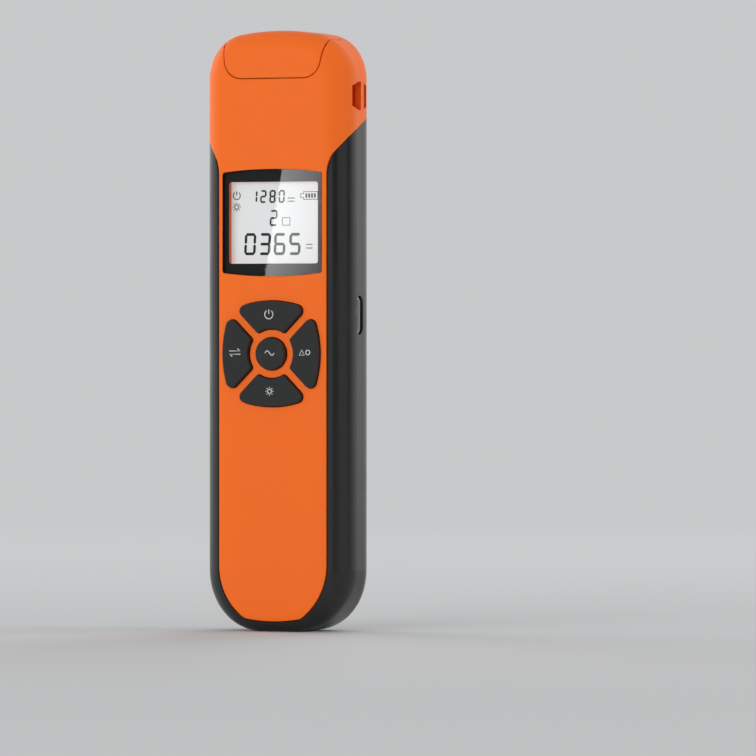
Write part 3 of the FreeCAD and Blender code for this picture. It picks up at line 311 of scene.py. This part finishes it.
def bright_metal(name, tint, roughness, streak_mm, depth_mm):
    """Bare or plated metal. streak_mm is the pitch of its streaks along X, Y and Z."""
    material, tree = new_material(name)
    place = add_node(tree, "ShaderNodeTexCoord").outputs["Object"]
    drawn = add_node(tree, "ShaderNodeVectorMath", {
        0: place, 1: [1 / (pitch * MM) for pitch in streak_mm]}, operation="MULTIPLY")
    streaks = add_node(tree, "ShaderNodeTexNoise", {
        "Vector": drawn.outputs[0], "Scale": 1.0, "Detail": 3.0})
    gloss = add_node(tree, "ShaderNodeMapRange", {
        "Value": streaks.outputs["Fac"], "From Min": 0.3, "From Max": 0.7,
        "To Min": roughness - STREAK_SMOOTHER, "To Max": roughness + STREAK_ROUGHER})
    bump = add_node(tree, "ShaderNodeBump", {
        "Height": streaks.outputs["Fac"], "Strength": 0.5, "Distance": depth_mm * MM})
    skin = add_node(tree, "ShaderNodeBsdfPrincipled", {
        "Base Color": linear(tint), "Metallic": 1.0, "Roughness": gloss.outputs["Result"],
        "Normal": bump.outputs[0]})
    add_node(tree, "ShaderNodeOutputMaterial", {"Surface": skin.outputs[0]})
    return material


drawn_steel = bright_metal("drawn_stainless_steel", "#C5C4C1", roughness=0.26,
                           streak_mm=(6.0, 0.15, 0.15), depth_mm=0.003)
finish_nodes(drawn_steel, "cap_hinge_pin")
pressed_steel = bright_metal("pressed_stainless_steel", "#CFCECB", roughness=0.22,
                             streak_mm=(0.4, 3.0, 0.4), depth_mm=0.002)
finish_nodes(pressed_steel, "key_domes", "crystal_can")
plated_steel = bright_metal("zinc_plated_steel", "#C9CED2", roughness=0.24,
                            streak_mm=(0.2, 1.5, 0.2), depth_mm=0.003)
finish_nodes(plated_steel, "housing_screws", "board_screws")


# ---- Socket shell, battery tabs, fibre adapter and detector: nickel plated metal ----
# They are of brass or other copper alloys, and nickel has a faint warm cast. The adapter and its
# nut are turned about Z, so fine lines run round them. The socket shell is satin, which keeps it
# pale even deep in its opening.
turned_nickel = bright_metal("turned_nickel_plated_brass", "#D9D4CB", roughness=0.34,
                             streak_mm=(4.0, 4.0, 0.12), depth_mm=0.004)
finish_nodes(turned_nickel, "adapter_body", "adapter_nut")
pressed_nickel = bright_metal("pressed_nickel_plate", "#CDC9C1", roughness=0.25,
                              streak_mm=(5.0, 0.3, 0.3), depth_mm=0.002)
finish_nodes(pressed_nickel, "battery_tabs", "detector_can", "detector_leads")
satin_nickel = bright_metal("satin_nickel_plate", "#F0EDE8", roughness=0.8,
                            streak_mm=(0.3, 0.3, 0.3), depth_mm=0.004)
finish_nodes(satin_nickel, "usb_shell")


# ---- Display window: clear cast acrylic, polished on both faces, glued into the front shell ----
# Its front face mirrors about a twenty-fifth of what is in front of it and lets the rest through.
# The faint unevenness of its polish softens that reflection.
ACRYLIC_IOR = 1.49
POLISH_MM = 5.0
ROUGHEST_POLISH = 0.012
acrylic, tree = new_material("polished_clear_acrylic")
place = add_node(tree, "ShaderNodeTexCoord").outputs["Object"]
polish = add_node(tree, "ShaderNodeTexNoise", {
    "Vector": place, "Scale": 1 / (POLISH_MM * MM), "Detail": 2.0})
gloss = add_node(tree, "ShaderNodeMapRange", {
    "Value": polish.outputs["Fac"], "To Min": 0.0, "To Max": ROUGHEST_POLISH})
clear = add_node(tree, "ShaderNodeBsdfTransparent", {"Color": linear("#FAFBFB")})
mirror = add_node(tree, "ShaderNodeBsdfAnisotropic", {
    "Color": linear("#FFFFFF"), "Roughness": gloss.outputs[0]})
share = add_node(tree, "ShaderNodeFresnel", {"IOR": ACRYLIC_IOR})
inside = add_node(tree, "ShaderNodeNewGeometry").outputs["Backfacing"]
outside = add_node(tree, "ShaderNodeMath", {0: 1.0, 1: inside}, operation="SUBTRACT")
share = add_node(tree, "ShaderNodeMath", {
    0: share.outputs[0], 1: outside.outputs[0]}, operation="MULTIPLY")
both = add_node(tree, "ShaderNodeMixShader", {
    0: share.outputs[0], 1: clear.outputs[0], 2: mirror.outputs[0]})
add_node(tree, "ShaderNodeOutputMaterial", {"Surface": both.outputs[0]})
finish_nodes(acrylic, "display_window")


# ---- Window border: black ink printed on the window's back and edge, open over the display ----
# The print has the window's own outline, so it starts as a copy of the window, a little smaller
# all round. A second copy, moved forwards, hollows it to a thin back and a thin edge, and a block
# with rounded corners cuts the opening.
INK_THICK = 0.05
INK_INSET = 0.03
OPENING_HALF_WIDTH, OPENING_HALF_HEIGHT = 12.0, 10.05
OPENING_CORNER = 0.6
MERGE_MM = 0.002


def start_edit(piece):
    """Enters edit mode on one piece, with everything in it selected."""
    bpy.ops.object.select_all(action="DESELECT")
    piece.select_set(True)
    bpy.context.view_layer.objects.active = piece
    bpy.ops.object.mode_set(mode="EDIT")
    bpy.ops.mesh.select_all(action="SELECT")


def settle(piece):
    """Puts a piece's place, turn and size into its mesh."""
    bpy.ops.object.select_all(action="DESELECT")
    piece.select_set(True)
    bpy.context.view_layer.objects.active = piece
    bpy.ops.object.transform_apply(location=True, rotation=True, scale=True)


def cut_away(piece, tool):
    """Takes one solid out of another and removes it."""
    cut = piece.modifiers.new("cut", "BOOLEAN")
    cut.operation, cut.object, cut.solver = "DIFFERENCE", tool, "EXACT"
    bpy.context.view_layer.objects.active = piece
    bpy.ops.object.modifier_apply(modifier=cut.name)
    bpy.data.objects.remove(tool)


def window_copy(name, inset, forward):
    """The window's shape, smaller by inset mm all round and moved forward by so many mm."""
    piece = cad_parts["display_window"].copy()
    piece.data = piece.data.copy()
    piece.parent = None
    bpy.context.collection.objects.link(piece)
    piece.name = name
    start_edit(piece)
    bpy.ops.mesh.remove_doubles(threshold=MERGE_MM * MM)
    bpy.ops.transform.resize(value=[1 - 2 * inset * MM / length for length in window_size],
                             center_override=window_middle)
    bpy.ops.transform.translate(value=(0, -forward * MM, 0))
    bpy.ops.object.mode_set(mode="OBJECT")
    return piece


border = window_copy("window_border_print", INK_INSET, 0)
cut_away(border, window_copy("hollow", INK_INSET + INK_THICK, 2 * INK_THICK))
bpy.ops.object.select_all(action="DESELECT")
bpy.ops.mesh.primitive_cube_add(size=1, location=window_middle)
opening = bpy.context.object
opening.scale = (2 * OPENING_HALF_WIDTH * MM, 3 * window_size.y, 2 * OPENING_HALF_HEIGHT * MM)
settle(opening)
start_edit(opening)
bpy.ops.mesh.select_mode(type="EDGE")
bpy.ops.mesh.select_all(action="DESELECT")
bpy.ops.object.mode_set(mode="OBJECT")
for edge in opening.data.edges:
    start, end = (opening.data.vertices[n].co for n in edge.vertices)
    edge.select = abs(start.y - end.y) > window_size.y
bpy.ops.object.mode_set(mode="EDIT")
bpy.ops.mesh.bevel(offset=OPENING_CORNER * MM, segments=5)
bpy.ops.object.mode_set(mode="OBJECT")
cut_away(border, opening)
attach(border, "housing")
border.data.materials.clear()
border_ink = moulded_plastic("screen_printed_black_ink", "#0C0D0D", roughness=0.45, grain_mm=0.2,
                             depth_mm=0.002)
border.data.materials.append(border_ink)


# ---- Display: a reflective liquid crystal cell, with a faint glow that is partly painted light ----
# What shows is its rear polariser, a fine satin film of an even pale grey. Its emission is partly
# the light guide's light and partly painted light against the shade of its recess, and makes it
# paler than it is by lamp light alone.
FILM_GRAIN_MM = 0.3
FILM_PATCH_MM = 16.0
# strength of the film's glow: partly the light guide's light, partly painted light against the
# recess's shade
FILM_PAINTED_GLOW = 0.4
film, tree = new_material("lcd_cell_polariser_film")
place = add_node(tree, "ShaderNodeTexCoord").outputs["Object"]
grain = add_node(tree, "ShaderNodeTexNoise", {
    "Vector": place, "Scale": 1 / (FILM_GRAIN_MM * MM), "Detail": 2.0})
spread = add_node(tree, "ShaderNodeTexNoise", {
    "Vector": place, "Scale": 1 / (FILM_PATCH_MM * MM), "Detail": 1.0})
mixed = add_node(tree, "ShaderNodeMath", {
    0: grain.outputs["Fac"], 1: spread.outputs["Fac"]}, operation="MULTIPLY")
tone = add_node(tree, "ShaderNodeMix", {
    "Factor": mixed.outputs[0], "A": linear("#BABBBB"), "B": linear("#C6C6C6")},
    data_type="RGBA")
skin = add_node(tree, "ShaderNodeBsdfPrincipled", {
    "Base Color": tone.outputs["Result"], "Roughness": 0.35,
    "Emission Color": linear("#F4F5F6"), "Emission Strength": FILM_PAINTED_GLOW})
add_node(tree, "ShaderNodeOutputMaterial", {"Surface": skin.outputs[0]})
finish_nodes(film, "lcd_panel")


# ---- Display figures: dark liquid crystal segments on the face of the cell ----
# Seven-segment digits of plain numbers, whose bars have pointed ends as etched electrodes do, and
# small signs for power, lamp, battery and units. One bar of each size is modelled and copied.
# Places are in mm, across from the cell's middle line and up from its foot.
PRINT_THICK = 0.02
SEGMENTS = {"0": "abcdef", "1": "bc", "2": "abged", "3": "abgcd", "4": "fgbc",
            "5": "afgcd", "6": "afgedc", "7": "abc", "8": "abcdefg", "9": "abfgcd"}
DIGIT_LEAN = 3.0
POINT_SHARE, UPRIGHT_GAP_SHARE = 0.34, 0.85     # of a bar's width
SIGN_WIDTH = 0.26
BATTERY_LEFT, BATTERY_RIGHT, BATTERY_LOW, BATTERY_HIGH = 7.2, 11.0, 18.35, 20.25
BATTERY_TIP, BATTERY_TIP_HALF = 6.4, 0.45
CHARGE_BARS, CHARGE_PITCH, CHARGE_WIDTH = 4, 0.76, 0.5
CHARGE_SIDE, CHARGE_END = 0.75, 0.35            # from the battery's outline to the charge bars
SQUARE = [(1.5, 12.05), (3.5, 12.05), (3.5, 13.9), (1.5, 13.9), (1.5, 12.05)]
DASHES = [[(2.9, 17.95), (4.8, 17.95)], [(2.9, 18.7), (4.8, 18.7)],
          [(7.9, 6.4), (9.6, 6.4)], [(7.9, 7.3), (9.6, 7.3)]]


def thicken(piece, thick):
    """Gives a flat piece that faces front its thickness in mm, behind its face."""
    slab = piece.modifiers.new("thickness", "SOLIDIFY")
    slab.thickness, slab.offset = thick * MM, -1.0
    bpy.context.view_layer.objects.active = piece
    bpy.ops.object.modifier_apply(modifier=slab.name)


def print_bar(length, width, face_y):
    """A flat bar along X with pointed ends, its face at face_y, centred on X and Z zero."""
    bpy.ops.object.select_all(action="DESELECT")
    bpy.ops.mesh.primitive_plane_add(size=1, location=(0, face_y, 0), rotation=(math.pi / 2, 0, 0))
    bar = bpy.context.object
    bar.scale = (length * MM, width * MM, 1)
    settle(bar)
    start_edit(bar)
    bpy.ops.mesh.bevel(affect="VERTICES", offset=width * MM * POINT_SHARE, segments=1)
    bpy.ops.object.mode_set(mode="OBJECT")
    thicken(bar, PRINT_THICK)
    return bar


def copy_of(piece, x, z, turn=0.0):
    """A copy with its own mesh, moved by x and z mm and turned in the plane of the display."""
    twin = piece.copy()
    twin.data = piece.data.copy()
    bpy.context.collection.objects.link(twin)
    twin.location = (x * MM, 0, z * MM)
    twin.rotation_euler = (0, math.radians(turn), 0)
    settle(twin)
    return twin


def digits(text, lefts, foot, width, height, stroke, face_y):
    """Bars for a row of seven-segment digits, one for each left edge given."""
    flat = print_bar(width - stroke, stroke, face_y)
    upright = print_bar(height / 2 - stroke * UPRIGHT_GAP_SHARE, stroke, face_y)
    half_w, half_h = (width - stroke) / 2, (height - stroke) / 2
    places = {"a": (0, half_h, flat), "g": (0, 0, flat), "d": (0, -half_h, flat),
              "f": (-half_w, half_h / 2, upright), "b": (half_w, half_h / 2, upright),
              "e": (-half_w, -half_h / 2, upright), "c": (half_w, -half_h / 2, upright)}
    bars = []
    for digit, left in zip(text, lefts):
        for part in SEGMENTS[digit]:
            x, z, bar = places[part]
            x += left + width / 2 + z * math.tan(math.radians(DIGIT_LEAN))
            turn = 90 + DIGIT_LEAN if bar is upright else 0
            bars.append(copy_of(bar, x, foot + height / 2 + z, turn))
    bpy.data.objects.remove(flat)
    bpy.data.objects.remove(upright)
    return bars


def strokes(lines, width, zero):
    """Flat inked lines. Each is a list of (x, z) points in mm from the place given as zero.

    A line that ends where it starts is a closed loop.
    """
    curve = bpy.data.curves.new("strokes", "CURVE")
    curve.dimensions = "3D"
    curve.bevel_depth = width * MM / 2
    curve.bevel_resolution = 1
    curve.use_fill_caps = True
    for points in lines:
        closed = points[0] == points[-1]
        kept = points[:-1] if closed else points
        spline = curve.splines.new("POLY")
        spline.points.add(len(kept) - 1)
        for point, (x, z) in zip(spline.points, kept):
            point.co = (x * MM, 0, z * MM, 1)
        spline.use_cyclic_u = closed
    piece = bpy.data.objects.new("strokes", curve)
    bpy.context.collection.objects.link(piece)
    bpy.ops.object.select_all(action="DESELECT")
    piece.select_set(True)
    bpy.context.view_layer.objects.active = piece
    bpy.ops.object.convert(target="MESH")
    piece = bpy.context.object
    piece.scale = (1, PRINT_THICK / width, 1)
    piece.location = zero
    settle(piece)
    return piece


def arc(x, z, radius, start=0, end=360, steps=24):
    """Points round a circle, from start to end degrees, in mm."""
    turns = [math.radians(start + (end - start) * n / steps) for n in range(steps + 1)]
    points = [(x + radius * math.cos(t), z + radius * math.sin(t)) for t in turns]
    return points[:-1] + points[:1] if end - start == 360 else points


def power_sign(x, z, radius):
    """An open ring with an upright line through its gap."""
    return [arc(x, z, radius, 125, 415), [(x, z + radius * 0.1), (x, z + radius * 1.1)]]


def lamp_sign(x, z, radius, rays=8):
    """A small ring with rays round it."""
    turns = [2 * math.pi * n / rays for n in range(rays)]
    lines = [[(x + radius * r * math.cos(t), z + radius * r * math.sin(t)) for r in (0.8, 1.08)]
             for t in turns]
    return [arc(x, z, radius * 0.52)] + lines


def joined(name, pieces, body, material):
    """One piece of several, riding on a body."""
    bpy.ops.object.select_all(action="DESELECT")
    for piece in pieces:
        piece.select_set(True)
    bpy.context.view_layer.objects.active = pieces[0]
    if len(pieces) > 1:
        bpy.ops.object.join()
    whole = bpy.context.object
    whole.name = name
    whole.data.materials.clear()
    whole.data.materials.append(material)
    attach(whole, body)
    return whole


cell_low = Vector(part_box("lcd_panel")[0])
cell_foot = cell_low.z / MM
cell_face = cell_low.y - PRINT_THICK * MM
segment_dark = moulded_plastic("dark_liquid_crystal", "#222426", roughness=0.5, grain_mm=0.3,
                               depth_mm=0.001)
figures = digits("1280", lefts=(-6.98, -4.53, -2.04, 0.44), foot=cell_foot + 17.55, width=1.68,
                 height=3.19, stroke=0.45, face_y=cell_face)
figures += digits("0365", lefts=(-8.8, -4.8, -0.8, 3.3), foot=cell_foot + 4.7, width=3.1,
                  height=5.44, stroke=0.68, face_y=cell_face)
figures += digits("2", lefts=(-1.9,), foot=cell_foot + 11.85, width=2.0, height=3.95, stroke=0.45,
                  face_y=cell_face)
battery_middle = (BATTERY_LOW + BATTERY_HIGH) / 2
charge = print_bar(BATTERY_HIGH - BATTERY_LOW - 2 * CHARGE_END, CHARGE_WIDTH, cell_face)
figures += [copy_of(charge, BATTERY_LEFT + CHARGE_SIDE + CHARGE_PITCH * n,
                    cell_foot + battery_middle, 90) for n in range(CHARGE_BARS)]
bpy.data.objects.remove(charge)
tip_low, tip_high = battery_middle - BATTERY_TIP_HALF, battery_middle + BATTERY_TIP_HALF
battery = [(BATTERY_LEFT, BATTERY_LOW), (BATTERY_RIGHT, BATTERY_LOW),
           (BATTERY_RIGHT, BATTERY_HIGH), (BATTERY_LEFT, BATTERY_HIGH), (BATTERY_LEFT, tip_high),
           (BATTERY_TIP, tip_high), (BATTERY_TIP, tip_low), (BATTERY_LEFT, tip_low),
           (BATTERY_LEFT, BATTERY_LOW)]
signs = power_sign(-10.9, 19.4, 0.95) + lamp_sign(-10.9, 16.6, 1.05)
signs += [battery, SQUARE] + DASHES
figures.append(strokes(signs, SIGN_WIDTH, Vector((0, cell_face, cell_low.z))))
joined("display_figures", figures, "housing", segment_dark)


# ---- Light guide: a clear acrylic sheet behind the cell, with a grid of white dots ----
# The dots send its light forwards through the cell, and look white on clear plastic.
DOT_PITCH_MM = 0.8          # the real dots are about 0.3 mm apart, drawn wider so that they show
guide, tree = new_material("dotted_acrylic_light_guide")
place = add_node(tree, "ShaderNodeTexCoord").outputs["Object"]
dots = add_node(tree, "ShaderNodeTexVoronoi", {
    "Vector": place, "Scale": 1 / (DOT_PITCH_MM * MM), "Randomness": 0.0})
spot = add_node(tree, "ShaderNodeMapRange", {
    "Value": dots.outputs["Distance"], "From Min": 0.2, "From Max": 0.32})
tone = add_node(tree, "ShaderNodeMix", {
    "Factor": spot.outputs[0], "A": linear("#F7F8F8"), "B": linear("#D5DCE0")},
    data_type="RGBA")
skin = add_node(tree, "ShaderNodeBsdfPrincipled", {
    "Base Color": tone.outputs["Result"], "Roughness": 0.2, "IOR": ACRYLIC_IOR})
add_node(tree, "ShaderNodeOutputMaterial", {"Surface": skin.outputs[0]})
finish_nodes(guide, "lcd_backlight")


# ---- Display connector: a strip of silicone rubber, squeezed between the cell and the board ----
# It is built of thin layers across the strip, by turns insulating and filled with carbon, which
# show as pale and dark stripes.
LAYER_MM = 0.4                      # the real pitch is 0.1 mm, drawn wider so that it shows
WAVE_LENGTH = 2 * math.pi / 20      # the wave pattern's own length at scale 1
zebra, tree = new_material("layered_silicone_connector")
place = add_node(tree, "ShaderNodeTexCoord").outputs["Object"]
layers = add_node(tree, "ShaderNodeTexWave", {
    "Vector": place, "Scale": WAVE_LENGTH / (LAYER_MM * MM)}, bands_direction="X")
step = add_node(tree, "ShaderNodeMapRange", {
    "Value": layers.outputs["Fac"], "From Min": 0.45, "From Max": 0.55})
tone = add_node(tree, "ShaderNodeMix", {
    "Factor": step.outputs[0], "A": linear("#1D1E20"), "B": linear("#D8CFC4")},
    data_type="RGBA")
skin = add_node(tree, "ShaderNodeBsdfPrincipled", {
    "Base Color": tone.outputs["Result"], "Roughness": 0.6})
add_node(tree, "ShaderNodeOutputMaterial", {"Surface": skin.outputs[0]})
finish_nodes(zebra, "lcd_connector")


# ---- Keypad mat and ring keys: moulded grey silicone, and hard key tops of charcoal plastic ----
# The mat lies on the board, with a hole for the stem of each key, and has the dull, slightly waxy
# skin of silicone. The key tops are matt and finely textured all over.
KEY_TINT = "#222323"
silicone = moulded_plastic("moulded_grey_silicone", "#8B8E90", roughness=0.62, grain_mm=0.2,
                           depth_mm=0.002)
finish_nodes(silicone, "keypad_mat")
key_plastic = moulded_plastic("matt_charcoal_key_plastic", KEY_TINT, roughness=0.5, grain_mm=0.18,
                              depth_mm=0.006)
finish_nodes(key_plastic, "key_power", "key_lamp", "key_ref", "key_unit")


# ---- Centre key: the same plastic, with a spun face ----
# The face has fine rings round its middle, which give it a faint sheen in rays.
RING_MM = 0.16              # the real rings are about 0.05 mm apart, drawn wider so that they show
key_low, key_high = (Vector(corner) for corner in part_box("key_wave"))
key_middle = (key_low + key_high) / 2
spun, tree = new_material("spun_charcoal_key_plastic")
place = add_node(tree, "ShaderNodeTexCoord").outputs["Object"]
centred = add_node(tree, "ShaderNodeMapping", {"Vector": place, "Location": -key_middle})
rings = add_node(tree, "ShaderNodeTexWave", {
    "Vector": centred.outputs[0], "Scale": WAVE_LENGTH / (RING_MM * MM)},
    wave_type="RINGS", rings_direction="Y")
bump = add_node(tree, "ShaderNodeBump", {
    "Height": rings.outputs["Fac"], "Strength": 0.8, "Distance": 0.03 * MM})
skin = add_node(tree, "ShaderNodeBsdfPrincipled", {
    "Base Color": linear(KEY_TINT), "Roughness": 0.26, "Normal": bump.outputs[0], "IOR": 1.5})
add_node(tree, "ShaderNodeOutputMaterial", {"Surface": skin.outputs[0]})
finish_nodes(spun, "key_wave")


# ---- Key legends: light grey ink, pad-printed on each key in thin lines ----
# Signs only: power, lamp, swap, set to zero and wave. The lines stand just clear of the key's
# face. Places are in mm from the middle of the centre key.
LEGEND_WIDTH = 0.26
LEGEND_LIFT = 0.2           # share of the print's thickness by which its middle clears the face
WAVE_HALF_LENGTH, WAVE_HEIGHT, WAVE_UP, WAVE_STEPS = 1.25, 0.55, 0.2, 12
wave_line = [(WAVE_HALF_LENGTH * (n / WAVE_STEPS - 1),
              WAVE_UP + WAVE_HEIGHT * math.sin(math.pi * n / WAVE_STEPS))
             for n in range(2 * WAVE_STEPS + 1)]
LEGENDS = {
    "key_power": power_sign(-0.2, 9.7, 1.1),
    "key_lamp": lamp_sign(0.0, -9.2, 1.0),
    "key_unit": [[(-10.9, 0.7), (-8.0, 0.7), (-8.7, 1.3)],
                 [(-7.9, -0.1), (-10.8, -0.1), (-10.1, -0.7)]],
    "key_ref": [[(8.0, -0.3), (8.7, 1.0), (9.4, -0.3), (8.0, -0.3)], arc(10.3, 0.35, 0.55)],
    "key_wave": [wave_line],
}
legend_ink = moulded_plastic("pad_printed_grey_ink", "#CFD1D1", roughness=0.5, grain_mm=0.2,
                             depth_mm=0.001)
for name, lines in LEGENDS.items():
    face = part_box(name)[0][1] - LEGEND_LIFT * PRINT_THICK * MM
    legend = strokes(lines, LEGEND_WIDTH, Vector((key_middle.x, face, key_middle.z)))
    joined(name + "_legend", [legend], name, legend_ink)


# ---- Charging socket: a tongue of black glass-filled plastic, with gold-plated contacts ----
# The contacts are thin strips laid into both faces of the tongue. The real ones are 0.25 mm wide
# at 0.5 mm pitch, twelve a side. Every second one is drawn, twice as wide, so that they show.
CONTACT_PITCH, CONTACT_WIDTH, CONTACTS = 1.0, 0.5, 6
CONTACT_LENGTH, CONTACT_THICK = 3.2, 0.03
CONTACT_CORNER = 0.15
CONTACT_SETBACK = 0.3       # from the tongue's end
TONGUE_HALF = 0.35
tongue_plastic = moulded_plastic("glass_filled_connector_plastic", "#1A1B1B", roughness=0.5,
                                 grain_mm=0.15, depth_mm=0.003)
finish_nodes(tongue_plastic, "usb_tongue")
gold = bright_metal("gold_plated_contact", "#E3B65C", roughness=0.22, streak_mm=(3.0, 0.2, 0.2),
                    depth_mm=0.001)
tongue_low, tongue_high = (Vector(corner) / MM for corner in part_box("usb_tongue"))
tongue_middle = (tongue_low + tongue_high) / 2
bpy.ops.object.select_all(action="DESELECT")
bpy.ops.mesh.primitive_plane_add(size=1, rotation=(math.pi / 2, 0, 0),
                                 location=(0, -CONTACT_THICK * MM, 0))
contact = bpy.context.object
contact.scale = (CONTACT_LENGTH * MM, CONTACT_WIDTH * MM, 1)
settle(contact)
start_edit(contact)
bpy.ops.mesh.bevel(affect="VERTICES", offset=CONTACT_CORNER * MM, segments=3)
bpy.ops.object.mode_set(mode="OBJECT")
thicken(contact, CONTACT_THICK)
contacts = []
for face_y in (tongue_middle.y - TONGUE_HALF, tongue_middle.y + TONGUE_HALF + CONTACT_THICK):
    for n in range(CONTACTS):
        z = tongue_middle.z + (n - (CONTACTS - 1) / 2) * CONTACT_PITCH
        twin = copy_of(contact, tongue_high.x - CONTACT_SETBACK - CONTACT_LENGTH / 2, z)
        twin.location.y = face_y * MM
        settle(twin)
        contacts.append(twin)
bpy.data.objects.remove(contact)
joined("usb_contacts", contacts, "housing", gold)


# ---- Main board: glass-epoxy laminate with green solder mask over copper tracks ----
# It is screwed to posts of the front shell. Where copper runs under the mask it looks lighter and
# stands a little proud, in straight runs along and across.
FIELD_MM = 4.8              # size of the fields of side by side tracks
TRACKS_PER_FIELD = 4.5      # one every 1.07 mm, drawn wider than the real 0.4 mm so that they show
board_green, tree = new_material("green_solder_mask")
place = add_node(tree, "ShaderNodeTexCoord").outputs["Object"]
fields = add_node(tree, "ShaderNodeTexVoronoi", {
    "Vector": place, "Scale": 1 / (FIELD_MM * MM)}, distance="CHEBYCHEV")
runs = add_node(tree, "ShaderNodeMath", {
    0: fields.outputs["Distance"], 1: 2 * TRACKS_PER_FIELD}, operation="MULTIPLY")
runs = add_node(tree, "ShaderNodeMath", {0: runs.outputs[0], 1: 1.0}, operation="PINGPONG")
track = add_node(tree, "ShaderNodeMapRange", {
    "Value": runs.outputs[0], "From Min": 0.68, "From Max": 0.76})
tone = add_node(tree, "ShaderNodeMix", {
    "Factor": track.outputs[0], "A": linear("#14512E"), "B": linear("#2B7A46")},
    data_type="RGBA")
bump = add_node(tree, "ShaderNodeBump", {
    "Height": track.outputs[0], "Strength": 0.6, "Distance": 0.03 * MM})
skin = add_node(tree, "ShaderNodeBsdfPrincipled", {
    "Base Color": tone.outputs["Result"], "Roughness": 0.28, "Normal": bump.outputs[0],
    "IOR": 1.52})
add_node(tree, "ShaderNodeOutputMaterial", {"Surface": skin.outputs[0]})
finish_nodes(board_green, "main_board")


# ---- Chips: transfer-moulded black epoxy, soldered to the board ----
# The mould is eroded matt, so the grain is a little rougher than on a plain moulding and the
# black looks dull and greyish.
epoxy = moulded_plastic("moulded_black_epoxy", "#232426", roughness=0.6, grain_mm=0.12,
                        depth_mm=0.006)
finish_nodes(epoxy, "processor_chip", "amplifier_chip", "charger_chip")


# ---- Battery: a pouch cell in aluminium laminate film, held by double-sided foam tape ----
# The film is silvery with a soft gloss and slight wrinkles. The foam is dark, open-pored and
# quite matt.
WRINKLE_MM = 4.0
PORE_MM = 0.35
pouch, tree = new_material("aluminium_laminate_film")
place = add_node(tree, "ShaderNodeTexCoord").outputs["Object"]
wrinkles = add_node(tree, "ShaderNodeTexNoise", {
    "Vector": place, "Scale": 1 / (WRINKLE_MM * MM), "Detail": 4.0, "Distortion": 1.2})
bump = add_node(tree, "ShaderNodeBump", {
    "Height": wrinkles.outputs["Fac"], "Strength": 0.5, "Distance": 0.15 * MM})
skin = add_node(tree, "ShaderNodeBsdfPrincipled", {
    "Base Color": linear("#C3C6C9"), "Metallic": 1.0, "Roughness": 0.42,
    "Normal": bump.outputs[0]})
add_node(tree, "ShaderNodeOutputMaterial", {"Surface": skin.outputs[0]})
finish_nodes(pouch, "battery_cell")

foam, tree = new_material("open_pored_foam_tape")
place = add_node(tree, "ShaderNodeTexCoord").outputs["Object"]
pores = add_node(tree, "ShaderNodeTexVoronoi", {"Vector": place, "Scale": 1 / (PORE_MM * MM)})
tone = add_node(tree, "ShaderNodeMix", {
    "Factor": pores.outputs["Distance"], "A": linear("#1E1F21"), "B": linear("#4C4E51")},
    data_type="RGBA")
bump = add_node(tree, "ShaderNodeBump", {
    "Height": pores.outputs["Distance"], "Strength": 0.8, "Distance": 0.1 * MM})
skin = add_node(tree, "ShaderNodeBsdfPrincipled", {
    "Base Color": tone.outputs["Result"], "Roughness": 0.9, "Normal": bump.outputs[0]})
add_node(tree, "ShaderNodeOutputMaterial", {"Surface": skin.outputs[0]})
finish_nodes(foam, "battery_tape")


# ---- Alignment sleeve: a tube of ground zirconia, pressed into the fibre adapter ----
# It is white and glossy, and light passes a little way into it. The grinding leaves the gloss
# slightly uneven.
GRIND_MM = 0.3
zirconia, tree = new_material("ground_zirconia")
place = add_node(tree, "ShaderNodeTexCoord").outputs["Object"]
grain = add_node(tree, "ShaderNodeTexNoise", {
    "Vector": place, "Scale": 1 / (GRIND_MM * MM), "Detail": 3.0})
gloss = add_node(tree, "ShaderNodeMapRange", {
    "Value": grain.outputs["Fac"], "To Min": 0.10, "To Max": 0.24})
skin = add_node(tree, "ShaderNodeBsdfPrincipled", {
    "Base Color": linear("#F1EFE9"), "Roughness": gloss.outputs[0], "IOR": 2.1,
    "Subsurface Weight": 0.2, "Subsurface Scale": 0.5 * MM})
add_node(tree, "ShaderNodeOutputMaterial", {"Surface": skin.outputs[0]})
finish_nodes(zirconia, "ferrule_sleeve")


# ---- Detector window: borosilicate glass, sealed into the detector can ----
# A thin coating against reflection gives it a violet cast.
COATED_SHARE = 0.25         # how much of what shows is the coating's own reflection
coated, tree = new_material("coated_borosilicate_glass")
facing = add_node(tree, "ShaderNodeLayerWeight", {"Blend": 0.35}).outputs["Facing"]
cast = add_node(tree, "ShaderNodeMix", {
    "Factor": facing, "A": linear("#5A4E9A"), "B": linear("#9AA7D8")}, data_type="RGBA")
clear = add_node(tree, "ShaderNodeBsdfTransparent", {"Color": linear("#DAD9E6")})
mirror = add_node(tree, "ShaderNodeBsdfAnisotropic", {
    "Color": cast.outputs["Result"], "Roughness": 0.04})
both = add_node(tree, "ShaderNodeMixShader", {
    0: COATED_SHARE, 1: clear.outputs[0], 2: mirror.outputs[0]})
add_node(tree, "ShaderNodeOutputMaterial", {"Surface": both.outputs[0]})
finish_nodes(coated, "detector_window")
